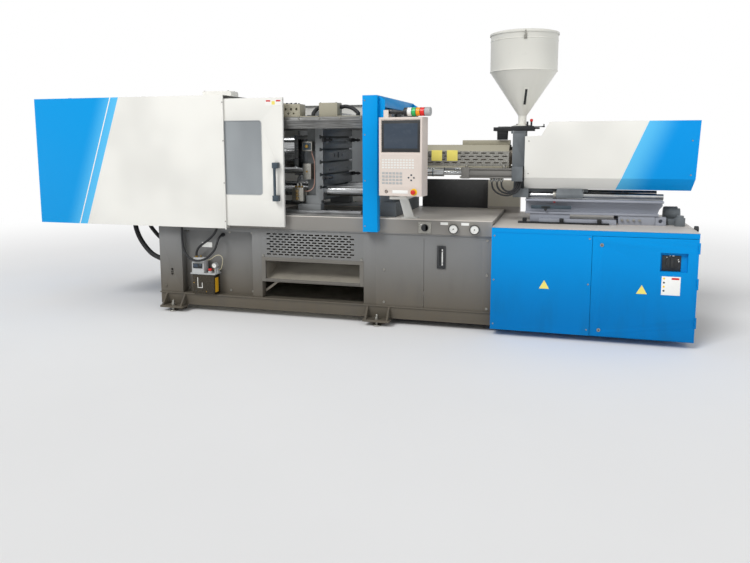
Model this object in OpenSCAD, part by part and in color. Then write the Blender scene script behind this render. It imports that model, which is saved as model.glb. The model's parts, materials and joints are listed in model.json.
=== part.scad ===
// Horizontal injection moulding machine with hood, sliding gates, hopper and control panel.
// Units are millimetres. +X points from the clamp end to the injection end, +Y to the rear, +Z up.

/* [Overall] */
// Half of the overall length, from the clamp hood to the end of the injection hood
half_length = 3180; // [3000:1:3400]
// Distance of the machine centreline behind the centre of the outline
axis_y = 72; // [0:1:150]
// Height of the clamp and barrel axis above the floor
axis_z = 1555; // [1500:1:1620]
// Node to draw

/* [Base] */
// Left end of the base
base_left = -1838; // [-1900:1:-1700]
// Place where the wide clamp base meets the electric cabinet
base_step = 1506; // [1450:1:1560]
// Right end of the base
base_right = 3130; // [3080:1:3160]
// Half width of the base
base_half = 650; // [620:1:680]
// Underside of the base above the floor
base_foot = 60; // [50:1:80]
// Height of the lower beams
beam_high = 120; // [100:1:140]
// Height of the line under the table band
band_z = 850; // [830:1:870]
// Height of the clamp bed table
table_z = 994; // [970:1:1010]
// Height of the table behind the electric cabinet
side_table_z = 958; // [950:1:965]
// Width of the left corner post
post_wide = 253; // [200:1:300]
// Left edge of the product drop opening
chute_left = -700; // [-750:1:-650]
// Right edge of the product drop opening
chute_right = 308; // [270:1:330]
// Top edge of the product drop opening
chute_top = 570; // [540:1:600]
// Height of the lip of the product chute
chute_lip = 364; // [340:1:390]
// Thickness of the sheet metal skins
skin = 4; // [3:0.5:6]

/* [Clamp] */
// Left end of the fixed platen, its mould face
fixed_face = 320; // [300:1:340]
// Thickness of the fixed platen
fixed_thick = 240; // [220:1:260]
// Half height of the platens
platen_half_z = 426; // [400:1:450]
// Half width of the platens
platen_half_y = 480; // [450:1:500]
// Mould face of the moving platen with the gate as in the photograph
moving_face = -134; // [-180:1:-100]
// Thickness of the moving platen
moving_thick = 180; // [150:1:220]
// Distance of the tie bars from the axis, both ways
tie_half = 340; // [330:1:350]
// Radius of the tie bars
tie_r = 50; // [45:1:55]
// Running clearance of the tie bars in the moving platen
tie_gap = 0.05; // [0.02:0.01:0.1]
// Left face of the cylinder platen
rear_face = -1760; // [-1800:1:-1700]
// Thickness of the cylinder platen
rear_thick = 240; // [200:1:280]
// Radius of the clamp ram
ram_r = 130; // [110:1:140]
// Radius of the locating ring bore in the fixed platen
locate_r = 80; // [70:1:90]
// Spacing of the mould bolt holes
bolt_space = 560; // [500:1:600]
// Radius of the mould bolt holes
bolt_r = 10; // [8:1:12]

/* [Covers] */
// Right edge of the clamp hood
hood_right = -1028; // [-1060:1:-1000]
// Underside of the clamp hood
hood_low = 860; // [850:1:880]
// Top of the clamp hood
hood_top = 2130; // [2100:1:2160]
// How far the hood stands out beyond the base on each side
hood_over = 90; // [70:1:110]
// Right edge of the front gate as in the photograph
gate_right = -430; // [-480:1:-400]
// Length of the gates
gate_long = 1400; // [1390:1:1440]
// Top of the front gate
gate_top = 2095; // [2050:1:2120]
// Underside of the gates
gate_low = 890; // [870:1:900]
// Left face of the blue cover round the fixed platen
cover_left = 347; // [330:1:360]
// Right face of the blue cover
cover_right = 484; // [470:1:500]
// Underside of the blue cover
cover_low = 877; // [860:1:890]
// Top of the blue cover
cover_top = 2096; // [2060:1:2130]
// How far the blue cover stands out beyond the base on each side
cover_over = 110; // [95:1:130]

/* [Cabinet] */
// Right end of the electric cabinet
cab_right = 3146; // [3100:1:3170]
// How far the cabinet stands out beyond the front of the base
cab_out = 114; // [100:1:130]
// Depth of the cabinet
cab_deep = 296; // [280:1:320]
// Height of the door seam above the door
cab_lip = 911; // [900:1:920]
// Seam between the fixed panel and the door
cab_seam = 2332; // [2300:1:2360]

/* [Injection unit] */
// Right edge of the feed block and left edge of the hood
hood2_left = 1740; // [1720:1:1760]
// Front half width of the injection hood
hood2_half = 330; // [310:1:350]
// Top of the injection hood
hood2_top = 1860; // [1840:1:1880]
// Line where the injection hood bends inward
hood2_bend = 1364; // [1350:1:1380]
// Underside of the injection hood
hood2_low = 1262; // [1250:1:1290]
// Top of the injection beams
beam2_top = 1170; // [1150:1:1190]
// Radius of the barrel
barrel_r = 85; // [75:1:95]
// Radius of the screw
screw_r = 30; // [25:1:35]
// Clearance of the screw in the barrel
screw_gap = 0.1; // [0.05:0.01:0.1]

/* [Hopper] */
// Centre of the hopper along the machine
hopper_x = 1692; // [1670:1:1710]
// Radius of the hopper
hopper_r = 306; // [290:1:320]
// Height of the rim of the hopper
hopper_top = 2662; // [2640:1:2690]
// Height where the cone starts
hopper_cone = 2326; // [2300:1:2350]
// Height where the cone meets the neck
hopper_neck = 1925; // [1900:1:1950]
// Radius of the neck
neck_r = 38; // [34:1:45]
// Underside of the hopper flange
hopper_foot = 1830; // [1820:1:1850]
// Thickness of the hopper sheet
hopper_wall = 3; // [2:0.5:4]

/* [Control panel] */
// Width of the panel
panel_wide = 388; // [350:1:400]
// Height of the panel
panel_high = 664; // [640:1:690]
// Depth of the panel
panel_deep = 150; // [130:1:170]
// Underside of the panel
panel_low = 1228; // [1210:1:1250]
// Turn of the panel towards the clamp
panel_turn = 7.5; // [0:0.5:15]

/* [Hidden] */
$fn = 96;
eps = 0.01;
half_l = half_length;
// Half width of the clamp hood
hood_half = base_half + hood_over;
// Half width of the platen cover
cover_half = base_half + cover_over;
// Front face of the electric cabinet
cab_front = -base_half - cab_out;
// Outer and inner sides of the gate rails
rail_out = hood_half - 85;
rail_in = hood_half - 165;
// Middle of the slideways and of the shoes that run on them
slide_y = platen_half_y - 10;
// Fittings on the front are drawn for this half width and move with the base
drawn_half = 650;
front_move = drawn_half - base_half;
// Middle of the oil cooler behind the base
cooler_y = base_half + 165;
fixed_back = fixed_face + fixed_thick;
moving_back = moving_face - moving_thick;
rear_front = rear_face + rear_thick;
grey = [0.47, 0.47, 0.46];
table_grey = [0.60, 0.58, 0.54];
cream = [0.93, 0.93, 0.90];
blue = [0.0, 0.55, 0.86];
dark = [0.16, 0.19, 0.21];
steel = [0.72, 0.73, 0.74];
rod_gap = 0.05;
hole_gap = 0.5;
panel_x = 760;
panel_y = -base_half - 275;
swivel_r = 30;
// Cabinet door hinges: heights, knuckle radius and pin radius
hinge_z = [180, 500, 790];
hinge_r = 8;
hinge_pin = 3;
carriage_top = 1268;
guide_y = 235;
guide_r = 25;
guide_z = beam2_top + 32;
cyl_y = -326;
cyl_z = 1400;
cyl_r = 42;
pull_r = 20;
table_right = 1480;

// Shift from the machine centreline to the shared frame.
module placed() {
  translate([0, axis_y, 0]) children();
}

// Box from its low corner and its high corner.
module span(a, b) {
  translate(a) cube(b - a);
}

// Round bar along X from x0 to x1.
module bar_x(x0, x1, y, z, r) {
  translate([x0, y, z]) rotate([0, 90, 0]) cylinder(h = x1 - x0, r = r);
}

// Round bar along Y from y0 to y1.
module bar_y(y0, y1, x, z, r) {
  translate([x, y0, z]) rotate([-90, 0, 0]) cylinder(h = y1 - y0, r = r);
}

// Round bar along Z from z0 to z1.
module bar_z(z0, z1, x, y, r) {
  translate([x, y, z0]) cylinder(h = z1 - z0, r = r);
}

// Vector along a hose centreline.
function unit(v) = v / norm(v);
function lay(t) = abs(t[2]) > 0.9 ? [1, 0, 0] : [0, 0, 1];
function side(t) = unit(cross(t, lay(t)));
function curve(p, i, t) =
  let (a = p[max(i - 1, 0)], b = p[i], c = p[min(i + 1, len(p) - 1)], d = p[min(i + 2, len(p) - 1)])
  0.5 * ((2 * b) + (c - a) * t + (2 * a - 5 * b + 4 * c - d) * t * t
    + (3 * b - a - 3 * c + d) * t * t * t);
function path(p, m) = [for (i = [0 : len(p) - 2]) for (k = [0 : m - 1]) curve(p, i, k / m),
  p[len(p) - 1]];
function heading(q, i) = unit(q[min(i + 1, len(q) - 1)] - q[max(i - 1, 0)]);
// Frames are carried along so that the tube does not twist.
function carry(n, t) = unit(n - (n * t) * t);
function frames(q, i, n) = i >= len(q) ? [] :
  let (m = carry(n, heading(q, i))) concat([m], frames(q, i + 1, m));

// Tube of radius r swept along the points p, m steps between points, with s sides.
module hose(p, r, m, s) {
  q = path(p, m);
  f = frames(q, 0, side(heading(q, 0)));
  n = len(q);
  pts = [for (i = [0 : n - 1]) for (k = [0 : s - 1])
    q[i] + r * cos(360 * k / s) * f[i] + r * sin(360 * k / s) * cross(heading(q, i), f[i])];
  walls = [for (i = [0 : n - 2]) for (k = [0 : s - 1])
    [i * s + k, i * s + (k + 1) % s, (i + 1) * s + (k + 1) % s, (i + 1) * s + k]];
  first = [[for (k = [s - 1 : -1 : 0]) k]];
  last = [[for (k = [0 : s - 1]) (n - 1) * s + k]];
  polyhedron(points = pts, faces = concat(walls, first, last), convexity = 6);
}

// Welded base: lower beams, posts, top beams and cross members.
module base_frame() {
  rail = 90;
  low = base_foot + beam_high;
  top0 = band_z - 30;
  front = -base_half + rail;
  back = base_half - rail;
  cab_back = cab_front + cab_deep;
  color(grey) placed() {
    // Lower rails
    span([base_left, -base_half, base_foot], [base_step, front, low]);
    span([base_left, back, base_foot], [base_right, base_half, low]);
    span([base_step + eps, cab_back, base_foot], [base_right, cab_back + rail, low]);
    // Lower cross members
    span([base_left, front + eps, base_foot], [base_left + 90, back - eps, low]);
    span([fixed_face, front + eps, base_foot], [fixed_face + 100, back - eps, low]);
    span([base_step - 90, front + eps, base_foot], [base_step, back - eps, low]);
    span([base_right - 90, cab_back + rail + eps, base_foot], [base_right, back - eps, low]);
    // Posts and top rails on both sides
    for (s = [-1, 1]) {
      y0 = s > 0 ? base_half - rail : -base_half;
      difference() {
        span([base_left, y0, low + eps], [base_left + post_wide, y0 + rail, top0 - eps]);
        // Slot in the front left post
        span([base_left + 122, -base_half - 1, 366], [base_left + 150, -base_half + 40, 412]);
        bar_y(-base_half - 1, -base_half + 40, base_left + 136, 412, 14);
        bar_y(-base_half - 1, -base_half + 40, base_left + 136, 366, 14);
      }
      span([chute_left - 110, y0, low + eps], [chute_left - 10, y0 + rail, top0 - eps]);
      span([chute_right + 14, y0, low + eps], [chute_right + 130, y0 + rail, top0 - eps]);
      span([base_step - 90, y0, low + eps], [base_step, y0 + rail, top0 - eps]);
      span([base_left, y0, top0], [base_step, y0 + rail, band_z]);
    }
    // Posts and top rails of the injection end
    span([base_right - 90, back, low + eps], [base_right, base_half, top0 - eps]);
    span([base_right - 90, cab_back, low + eps], [base_right, cab_back + rail, top0 - eps]);
    span([base_step + eps, back, top0], [base_right, base_half, band_z]);
    span([base_step + eps, cab_back, top0], [base_right, cab_back + rail, band_z]);
    // Top cross members
    span([base_left, front + eps, top0], [base_left + 90, back - eps, band_z]);
    span([base_step - 90, front + eps, top0], [base_step, back - eps, band_z]);
    span([base_right - 90, cab_back + rail + eps, top0], [base_right, back - eps, band_z]);
    span([fixed_face, front + eps, top0], [fixed_face + 180, back - eps, band_z]);
    // Flange of the lower beam
    span([base_left - 6, -base_half - 12, low - 12], [base_step, -base_half - eps, low]);
  }
}

// Screwed sheet skins of the base, front and rear, with the recess of the lubricator.
module base_panels() {
  low = base_foot + beam_high;
  y = -base_half + skin;
  left = base_left + post_wide;
  color(grey) placed() {
    // Recessed sheet behind the lubricator, at the inner side of the rail
    span([left + eps, -base_half + 86, low],
      [chute_left - 110 - eps, -base_half + 86 + skin, band_z - 30 - eps]);
    // Sheet between the chute and the cabinet, in two parts with a seam
    span([chute_right + 130 + eps, -base_half, low], [890, y, band_z - 30 - eps]);
    span([893, -base_half, low], [base_step - 90 - eps, y, band_z - 30 - eps]);
    // Rear skins
    span([left + eps, base_half - skin, low], [chute_left - 110 - eps, base_half, band_z - 30 - eps]);
    span([chute_left - 10 + eps, base_half - skin, low],
      [chute_right + 14 - eps, base_half, band_z - 30 - eps]);
    span([chute_right + 130 + eps, base_half - skin, low],
      [base_step - 90 - eps, base_half, band_z - 30 - eps]);
    span([base_step + eps, base_half - skin, low], [2300, base_half, band_z - 30 - eps]);
    span([2303, base_half - skin, low], [base_right - 90 - eps, base_half, band_z - 30 - eps]);
    // End skins
    span([base_left, -base_half + 90 + eps, low],
      [base_left + skin, base_half - 90 - eps, band_z - 30 - eps]);
    span([base_right - skin, cab_front + cab_deep + 90 + eps, low],
      [base_right, base_half - 90 - eps, band_z - 30 - eps]);
  }
}

// Perforated sheet above the product opening.
module vent_panel() {
  color(grey) placed() difference() {
    span([chute_left - 10 + eps, -base_half, chute_top + 14],
      [chute_right + 14 - eps, -base_half + skin, band_z - 30 - eps]);
    for (row = [0 : 8]) {
      for (col = [0 : 13]) {
        x = -655 + 62.5 * col + (row % 2) * 31;
        z = 614 + 24.6 * row;
        if (x < chute_right - 80) span([x, -base_half - 1, z - 6.5],
          [x + 42, -base_half + skin + 1, z + 6.5]);
      }
    }
  }
}

// Sloped sheet chute under the mould and its frame in the opening.
module drop_chute() {
  y0 = -base_half - 3;
  color(grey) placed() {
    difference() {
      span([chute_left - 10 + eps, y0, chute_lip - 22],
        [chute_right + 14 - eps, -base_half + 26, chute_top + 14 - eps]);
      span([chute_left + 28, y0 - 1, chute_lip + 4],
        [chute_right - 26, -base_half + 30, chute_top - 22]);
    }
    // Sloped floor and side cheeks
    translate([chute_left + 20, 0, 0]) rotate([90, 0,
      90]) linear_extrude(height = chute_right - chute_left - 38)
      polygon([[-base_half + 26, chute_lip - 6], [-base_half + 26, chute_lip],
        [base_half - 220, 700], [base_half - 220, 694]]);
    for (x = [chute_left + 16, chute_right - 18]) {
      translate([x, 0, 0]) rotate([90, 0, 90]) linear_extrude(height = 4)
        polygon([[-base_half + 26, chute_lip - 6], [-base_half + 26, chute_top - 22],
          [base_half - 220, 806], [base_half - 220, 694]]);
    }
    // Diagonal brace below the chute
    translate([0, -base_half + 90, 0]) rotate([90, 0, 0]) linear_extrude(height = 8)
      polygon([[chute_left - 10 + eps, 220], [chute_left - 10 + eps, 250], [chute_left + 110, 340],
        [chute_left + 150, 340]]);
  }
}

// Bracket feet with anchor bolt holes and round levelling pads.
module foot_bracket(x, s) {
  wide = 250;
  yb = s * base_half;
  difference() {
    union() {
      translate([x, min(yb, yb + s * 110), base_foot - 20]) cube([wide, 110, 20 - eps]);
      for (dx = [14, wide - 30]) {
        translate([x + dx + 16, 0, 0]) rotate([90, 0, -90]) linear_extrude(height = 16)
          polygon(s < 0 ? [[-yb + 12.5, base_foot - eps], [-yb + 105, base_foot - eps],
            [-yb + 12.5, 165]]
            : [[-yb - 0.5, base_foot - eps], [-yb - 105, base_foot - eps], [-yb - 0.5, 165]]);
      }
    }
    translate([x + wide / 2, yb + s * 65, 0]) cylinder(h = 100, r = 13);
  }
  translate([x + wide / 2, yb - s * 60, 0]) cylinder(h = base_foot - eps, r = 70);
}

// All feet of the base.
module foot_brackets() {
  color(grey) placed() {
    for (x = [base_left + 49, 340]) {
      foot_bracket(x, -1);
      foot_bracket(x, 1);
    }
    foot_bracket(base_right - 270, 1);
    translate([base_right - 145, cab_front + cab_deep + 60, 0]) cylinder(h = base_foot - eps, r = 70);
    translate([2300, cab_front + cab_deep + 60, 0]) cylinder(h = base_foot - eps, r = 70);
    translate([2300, base_half - 60, 0]) cylinder(h = base_foot - eps, r = 70);
  }
}

// Bed and table plates on top of the base, with the side wall behind the barrel.
module machine_table() {
  band = 250;
  color(table_grey) placed() {
    difference() {
      span([base_left, -base_half - 6, band_z + eps], [base_step - 6, base_half + 6, table_z]);
      span([chute_left - 60, -base_half + band, band_z - 1],
        [fixed_face - 30, base_half - band, table_z + 1]);
      span([base_left + 90, -base_half + band, band_z - 1],
        [chute_left - 160, base_half - band, table_z - 20]);
      span([fixed_face + 70, -base_half + 14, band_z - 1],
        [base_step - 100, base_half - 14, table_z - 20]);
    }
    difference() {
      span([base_step, cab_front - 4, 955 + eps], [cab_right, cab_front + cab_deep + 4, side_table_z]);
    }
    difference() {
      span([base_step, cab_front + cab_deep + 4 + eps, band_z + eps],
        [cab_right, base_half, side_table_z]);
      span([base_step + 40, cab_front + cab_deep + 50, band_z - 1],
        [cab_right - 40, base_half - 40, side_table_z - 20]);
    }
    // Side wall behind the barrel
    span([base_step, 500, side_table_z - eps], [1660, 640, table_z + eps]);
    difference() {
      span([1332, 500, side_table_z + 36 + eps], [1660, 640, 1290]);
      span([1336, 504, side_table_z], [1656, 636, 1286]);
    }
  }
}

// Clamp hood of bent sheet, open towards the base, with a low box on its roof.
module clamp_hood() {
  lip = 34;
  box_h = 2193;
  color(cream) placed() {
    difference() {
      span([-half_l, -hood_half, hood_low], [hood_right, hood_half, hood_top]);
      span([-half_l + skin, -hood_half + skin, hood_low - 1],
        [hood_right + 1, hood_half - skin, hood_top - skin]);
    }
    // Folded edges at the open end
    span([hood_right - 12, -hood_half - 12, hood_low - 8], [hood_right, -hood_half, hood_top]);
    // Angles that rest against the table band under the gates
    for (x = [base_left + 40, hood_right - 110]) {
      for (s = [-1, 1]) {
        span([x, s < 0 ? -hood_half + skin - eps : base_half + 6 + eps, hood_low + 2],
          [x + 100, s < 0 ? -base_half - 6 - eps : hood_half - skin + eps, hood_low + 24]);
      }
    }
    // Roof box with rounded corner
    difference() {
      translate([0, -250, 0]) rotate([90, 0, 0]) linear_extrude(height = 160) union() {
        translate([-1427, hood_top]) square([290, box_h - hood_top]);
        translate([-1137, hood_top]) square([24, box_h - hood_top - 24]);
        translate([-1137, box_h - 24]) circle(r = 24);
      }
      span([-1420, -404, hood_top - 1], [-1137, -256, box_h - 6]);
    }
  }
}

// Blue sheet cover that arches over the fixed platen.
module platen_cover() {
  color(blue) placed() {
    difference() {
      translate([cover_left, 0, 0]) rotate([90, 0,
        90]) linear_extrude(height = cover_right - cover_left)
        difference() {
          union() {
            translate([-cover_half, cover_low]) square([2 * cover_half, cover_top - cover_low]);
          }
          translate([-cover_half + 90, cover_low - 1]) square([2 * cover_half - 180,
            axis_z + platen_half_z + 20 - cover_low + 1]);
        }
      translate([cover_left + skin, 0, 0]) rotate([90, 0,
        90]) linear_extrude(height = cover_right - cover_left - 2 * skin)
        difference() {
          translate([-cover_half + skin, cover_low - 1])
            square([2 * cover_half - 2 * skin, cover_top - cover_low - skin + 1]);
          translate([-cover_half + 90 - skin, cover_low - 2])
            square([2 * cover_half - 180 + 2 * skin,
              axis_z + platen_half_z + 20 + skin - cover_low + 2]);
        }
    }
    // Deeper side cheeks on the injection side
    for (s = [-1, 1]) {
      translate([cover_right, s * (cover_half - 45) - skin / 2, 0]) rotate([90, 0, 0]) mirror([0, 0, 1])
        linear_extrude(height = skin) polygon([[eps, 1250], [60, 1300], [60, cover_top - 40],
          [eps, cover_top - 4]]);
    }
  }
}

// Cast fixed platen with locating bore, tie bar bores and mould bolt holes.
module fixed_platen() {
  color([0.42, 0.44, 0.46]) placed() difference() {
    union() {
      span([fixed_face, -platen_half_y, axis_z - platen_half_z],
        [fixed_back, platen_half_y, axis_z + platen_half_z]);
      span([fixed_face + 20, -520, table_z + eps],
        [fixed_back + 40, 520, axis_z - platen_half_z + eps]);
    }
    bar_x(fixed_face - 1, fixed_back + 1, 0, axis_z, locate_r);
    translate([fixed_face + 70, 0, axis_z]) rotate([0, 90, 0]) cylinder(h = fixed_thick, r1 = 90,
      r2 = 200);
    for (y = [-1, 1]) {
      for (z = [-1, 1]) {
        bar_x(fixed_face - 1, fixed_back + 1, y * tie_half, axis_z + z * tie_half, tie_r);
        bar_x(fixed_face - 1, fixed_face + 60, y * bolt_space / 2, axis_z + z * bolt_space / 4, bolt_r);
      }
    }
    for (z = [-300, -180, -60, 60, 180, 300]) {
      span([fixed_face - 1, -platen_half_y - 1, axis_z + z - 9],
        [fixed_face + 22, platen_half_y + 1, axis_z + z + 9]);
      span([fixed_face + 14, -platen_half_y - 1, axis_z + z - 17],
        [fixed_face + 34, platen_half_y + 1, axis_z + z + 17]);
    }
    bar_x(fixed_back - 60, fixed_back + 1, cyl_y, cyl_z, pull_r);
    bar_x(fixed_back - 60, fixed_back + 1, -cyl_y, cyl_z, pull_r);
  }
}

// Platen at the clamp end with the main cylinder behind it.
module cylinder_platen() {
  color([0.42, 0.44, 0.46]) placed() difference() {
    union() {
      span([rear_face, -platen_half_y, axis_z - platen_half_z],
        [rear_front, platen_half_y, axis_z + platen_half_z]);
      span([rear_face + 20, -520, table_z + eps], [rear_front - 20, 520, axis_z - platen_half_z + eps]);
      bar_x(rear_face - 900, rear_face + eps, 0, axis_z, ram_r + 55);
      bar_x(rear_face - 930, rear_face - 870, 0, axis_z, ram_r + 75);
      bar_x(rear_front - eps, rear_front + 50, 0, axis_z, ram_r + 60);
      for (s = [-1, 1]) bar_x(rear_face - 520, rear_front + 30, s * 250, axis_z + s * 150, 55);
    }
    bar_x(rear_face - 880, rear_front + 51, 0, axis_z, ram_r + rod_gap);
    for (y = [-1, 1]) {
      for (z = [-1, 1]) bar_x(rear_face - 1, rear_front + 1, y * tie_half, axis_z + z * tie_half,
        tie_r);
    }
    for (s = [-1, 1]) bar_x(rear_face - 500, rear_front + 31, s * 250, axis_z + s * 150, 30 + rod_gap);
  }
}

// Four tie bars.
module tie_bars() {
  color(steel) placed() for (y = [-1, 1]) {
    for (z = [-1, 1]) {
      bar_x(rear_face - 150, fixed_back + 30, y * tie_half, axis_z + z * tie_half, tie_r - eps);
    }
  }
}

// Nuts and lock plates at both ends of the tie bars.
module tie_bar_nuts() {
  color(dark) placed() for (y = [-1, 1]) {
    for (z = [-1, 1]) {
      difference() {
        union() {
          bar_x(rear_face - 110, rear_face - eps, y * tie_half, axis_z + z * tie_half, 78);
          bar_x(rear_face - 60, rear_face - eps, y * tie_half, axis_z + z * tie_half, 84);
        }
        bar_x(rear_face - 111, rear_face + 1, y * tie_half, axis_z + z * tie_half, tie_r);
      }
      difference() {
        bar_x(fixed_back + eps, fixed_back + 46, y * tie_half, axis_z + z * tie_half, 72);
        bar_x(fixed_back - 1, fixed_back + 30.5, y * tie_half, axis_z + z * tie_half, tie_r);
      }
    }
  }
}

// Upper rails that carry both gates and the lower guides.
module gate_rails() {
  rz = 1811;
  color([0.42, 0.42, 0.41]) placed() {
    for (s = [-1, 1]) {
      y0 = s < 0 ? -rail_out : rail_in;
      difference() {
        union() {
          span([hood_right - 330, y0, rz + 50], [cover_left - eps, y0 + 80, 1917]);
          span([hood_right - 330, y0 + 10, rz + 24], [cover_left - eps, y0 + 70, rz + 50 + eps]);
          span([hood_right - 330, y0 + 20, rz], [cover_left - eps, y0 + 60, rz + 24 + eps]);
        }
        span([hood_right - 340, y0 + 16, rz + 56], [cover_left + 1, y0 + 64, 1911]);
      }
      // Lower guide strip on the table
      span([hood_right - 330, s < 0 ? -base_half + 8 : base_half - 28, table_z + eps],
        [cover_left - eps, s < 0 ? -base_half + 28 : base_half - 8, table_z + 18]);
    }
    // Posts of the rails on the cylinder platen side and cross plate over the mould area
    for (s = [-1, 1]) {
      span([hood_right - 330, s < 0 ? -rail_out + 6 : rail_in + 14, table_z + 20],
        [hood_right - 270, s < 0 ? -rail_in - 14 : rail_out - 6, rz - eps]);
    }
    for (s = [-1, 1]) {
      span([hood_right - 330, s * (rail_out - 30) - 30, 1917 - eps],
        [hood_right - 270, s * (rail_out - 30) + 30, 1950]);
    }
    span([hood_right - 330, -rail_out, 1950 - eps], [hood_right - 270, rail_out, 1980]);
    for (s = [-1, 1]) {
      // Track lip in front of each rail and bracket to the fixed platen
      span([hood_right - 330, s < 0 ? -rail_out - 19 : rail_out - eps, 1880],
        [cover_left - eps, s < 0 ? -rail_out + eps : rail_out + 19, 1890]);
      span([fixed_face + 4, s < 0 ? -rail_in - eps : platen_half_y + eps, 1830],
        [fixed_face + 26, s < 0 ? -platen_half_y - eps : rail_in + eps, 1900]);
    }
  }
}

// Hardened slideways under the moving platen.
module slideways() {
  color(steel) placed() for (s = [-1, 1]) {
    span([rear_front + 60, s * slide_y - 55, table_z + eps],
      [fixed_face - 60, s * slide_y + 55, table_z + 32]);
    span([rear_front + 60, s * slide_y - 40, table_z + 32 - eps],
      [fixed_face - 60, s * slide_y + 40, table_z + 42]);
  }
}

// Boxes on the top rails: junction box and valve block.
module top_junction_box() {
  color([0.88, 0.87, 0.82]) placed() translate([0, front_move, 0]) {
    span([-113, -620, 1917 + eps], [65, -480, 2045]);
    span([-113, -480 - eps, 1992], [65, -440, 2022]);
    // Plate and block with ports at the left
    difference() {
      span([-476, -640, 1917 + eps], [-293, -500, 2038]);
      for (x = [-440, -385, -330]) bar_y(-641, -600, x, 1990, 12);
      for (x = [-412, -357]) bar_y(-641, -600, x, 1950, 9);
    }
    span([-500, -560, 2038 - eps], [-440, -520, 2050]);
    // Flat plate that ties the rail to the cover
    span([-292, -648, 1917 + eps], [-114, -590, 1925]);
    span([66, -648, 1917 + eps], [320, -590, 1925]);
  }
}

// Dark guard sheet behind the purge area.
module purge_guard() {
  color([0.10, 0.11, 0.12]) placed() {
    span([fixed_back + 60, 600, table_z + eps], [1328, 604, 1290]);
    span([fixed_back + 60, 560, table_z + eps], [1328, 600 + eps, table_z + 4]);
    span([1288, 560, table_z + 4 - eps], [1328, 564, 1240]);
  }
}

// Two channel beams that carry the injection unit, with pads and cross plates.
module injection_beams() {
  color([0.47, 0.48, 0.50]) placed() {
    for (s = [-1, 1]) {
      translate([0, s < 0 ? -guide_y - 81 : guide_y - 19, 0]) difference() {
        translate([0, 100, 0]) rotate([90, 0, 0]) linear_extrude(height = 100)
          polygon([[1757, 1038], [2884, 1038], [2900, 1090], [2925, 1120], [2925, beam2_top],
            [1757, beam2_top]]);
        translate([1756, s < 0 ? -1 : 14, 1056]) cube([1200, s < 0 ? 87 : 87, beam2_top - 1056 - 18]);
      }
      // Pads under the beams
      span([1800, s < 0 ? -guide_y - 71 : guide_y - 9, side_table_z + eps],
        [2150, s < 0 ? -guide_y + 9 : guide_y + 71, 1038 - eps]);
      span([2560, s < 0 ? -guide_y - 71 : guide_y - 9, side_table_z + eps],
        [2860, s < 0 ? -guide_y + 9 : guide_y + 71, 1038 - eps]);
    }
    // Cross plates between the beams
    for (x = [1790, 2820]) span([x, -guide_y + 19 + eps, 1050],
      [x + 40, guide_y - 19 - eps, beam2_top - 20]);
    // Lower plates on the table
    span([1880, -guide_y - 130, side_table_z + eps], [2540, -guide_y - 72, 1000]);
    difference() {
      span([2862, -guide_y - 71, side_table_z + eps], [2950, -guide_y + 9, 1030]);
      bar_y(-guide_y - 72, -guide_y - 30, 2905, 995, 16);
    }
  }
}

// Polished rods: carriage guides on the beams and the pull rods of the carriage cylinders.
module guide_rods() {
  color(steel) placed() {
    for (s = [-1, 1]) {
      bar_x(1757, 2925, s * guide_y, guide_z, guide_r - rod_gap);
      span([1757, s * guide_y - 12, beam2_top + eps], [2925, s * guide_y + 12, beam2_top + 10]);
      // Pull rod from the fixed platen into the carriage cylinder
      bar_x(fixed_back - 55, 1600, s * cyl_y, cyl_z, pull_r - rod_gap);
      difference() {
        bar_x(fixed_back + eps, 1010, s * cyl_y, cyl_z, 34);
        bar_x(fixed_back - 1, 1011, s * cyl_y, cyl_z, pull_r - rod_gap + 0.04);
      }
    }
  }
}

// Electric cabinet: hollow box with a fixed left panel and an opening for the door.
module electric_cabinet() {
  back = cab_front + cab_deep - eps;
  color(blue) placed() difference() {
    span([base_step, cab_front, base_foot], [cab_right, back, 955]);
    span([base_step + skin, cab_front + 3, base_foot + 30],
      [cab_right - skin, back - skin, 955 - skin]);
    span([cab_seam, cab_front - 1, base_foot + 2], [cab_right + 1, cab_front + 24, cab_lip]);
    // Groove lines of the fixed panel
    span([base_step + 30, cab_front - 1, cab_lip - 2], [cab_seam + 2, cab_front + 2, cab_lip + 2]);
    // Cable outlets in the rear wall
    for (x = [1800, 2700]) bar_y(back - 30, back + 1, x, 800, 40);
  }
  // Hinge leaves, middle knuckles and pins on the door's own axis
  color(blue) placed() for (z = hinge_z) {
    span([cab_right - eps, cab_front, z + 27], [cab_right + 4, cab_front + 62, z + 63]);
    bar_z(z + 26, z + 64, cab_right, cab_front, hinge_r);
    bar_z(z, z + 90, cab_right, cab_front, hinge_pin);
  }
}

// Pressure gauges and the small plates above them, with the plate of the mode switch.
module pressure_gauges() {
  y = -base_half - 6;
  color([0.80, 0.80, 0.78]) placed() {
    for (x = [1161, 1347]) {
      difference() {
        bar_y(y - 34, y - eps, x, 918, 43);
        bar_y(y - 35, y - 28, x, 918, 37);
      }
      bar_y(y - 31, y - 28 + eps, x, 918, 6);
      span([x - 105, y - 3, 948], [x - 35, y - eps, 974]);
    }
    difference() {
      span([842, y - 8, 868], [958, y - eps, 972]);
      bar_y(y - 9, y + 1, 900, 920, 14 + hole_gap);
    }
  }
}

// Oil level gauge with a clear column.
module level_gauge() {
  y = -base_half;
  color([0.75, 0.78, 0.76]) placed() {
    difference() {
      span([1013, y - 14, 554], [1088, y - eps, 760]);
      span([1034, y - 15, 580], [1067, y - 6, 734]);
    }
    bar_z(578, 736, 1050.5, y - 5.5, 5);
    for (z = [566, 748]) bar_y(y - 20, y - 14 + eps, 1050.5, z, 9);
  }
}

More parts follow.
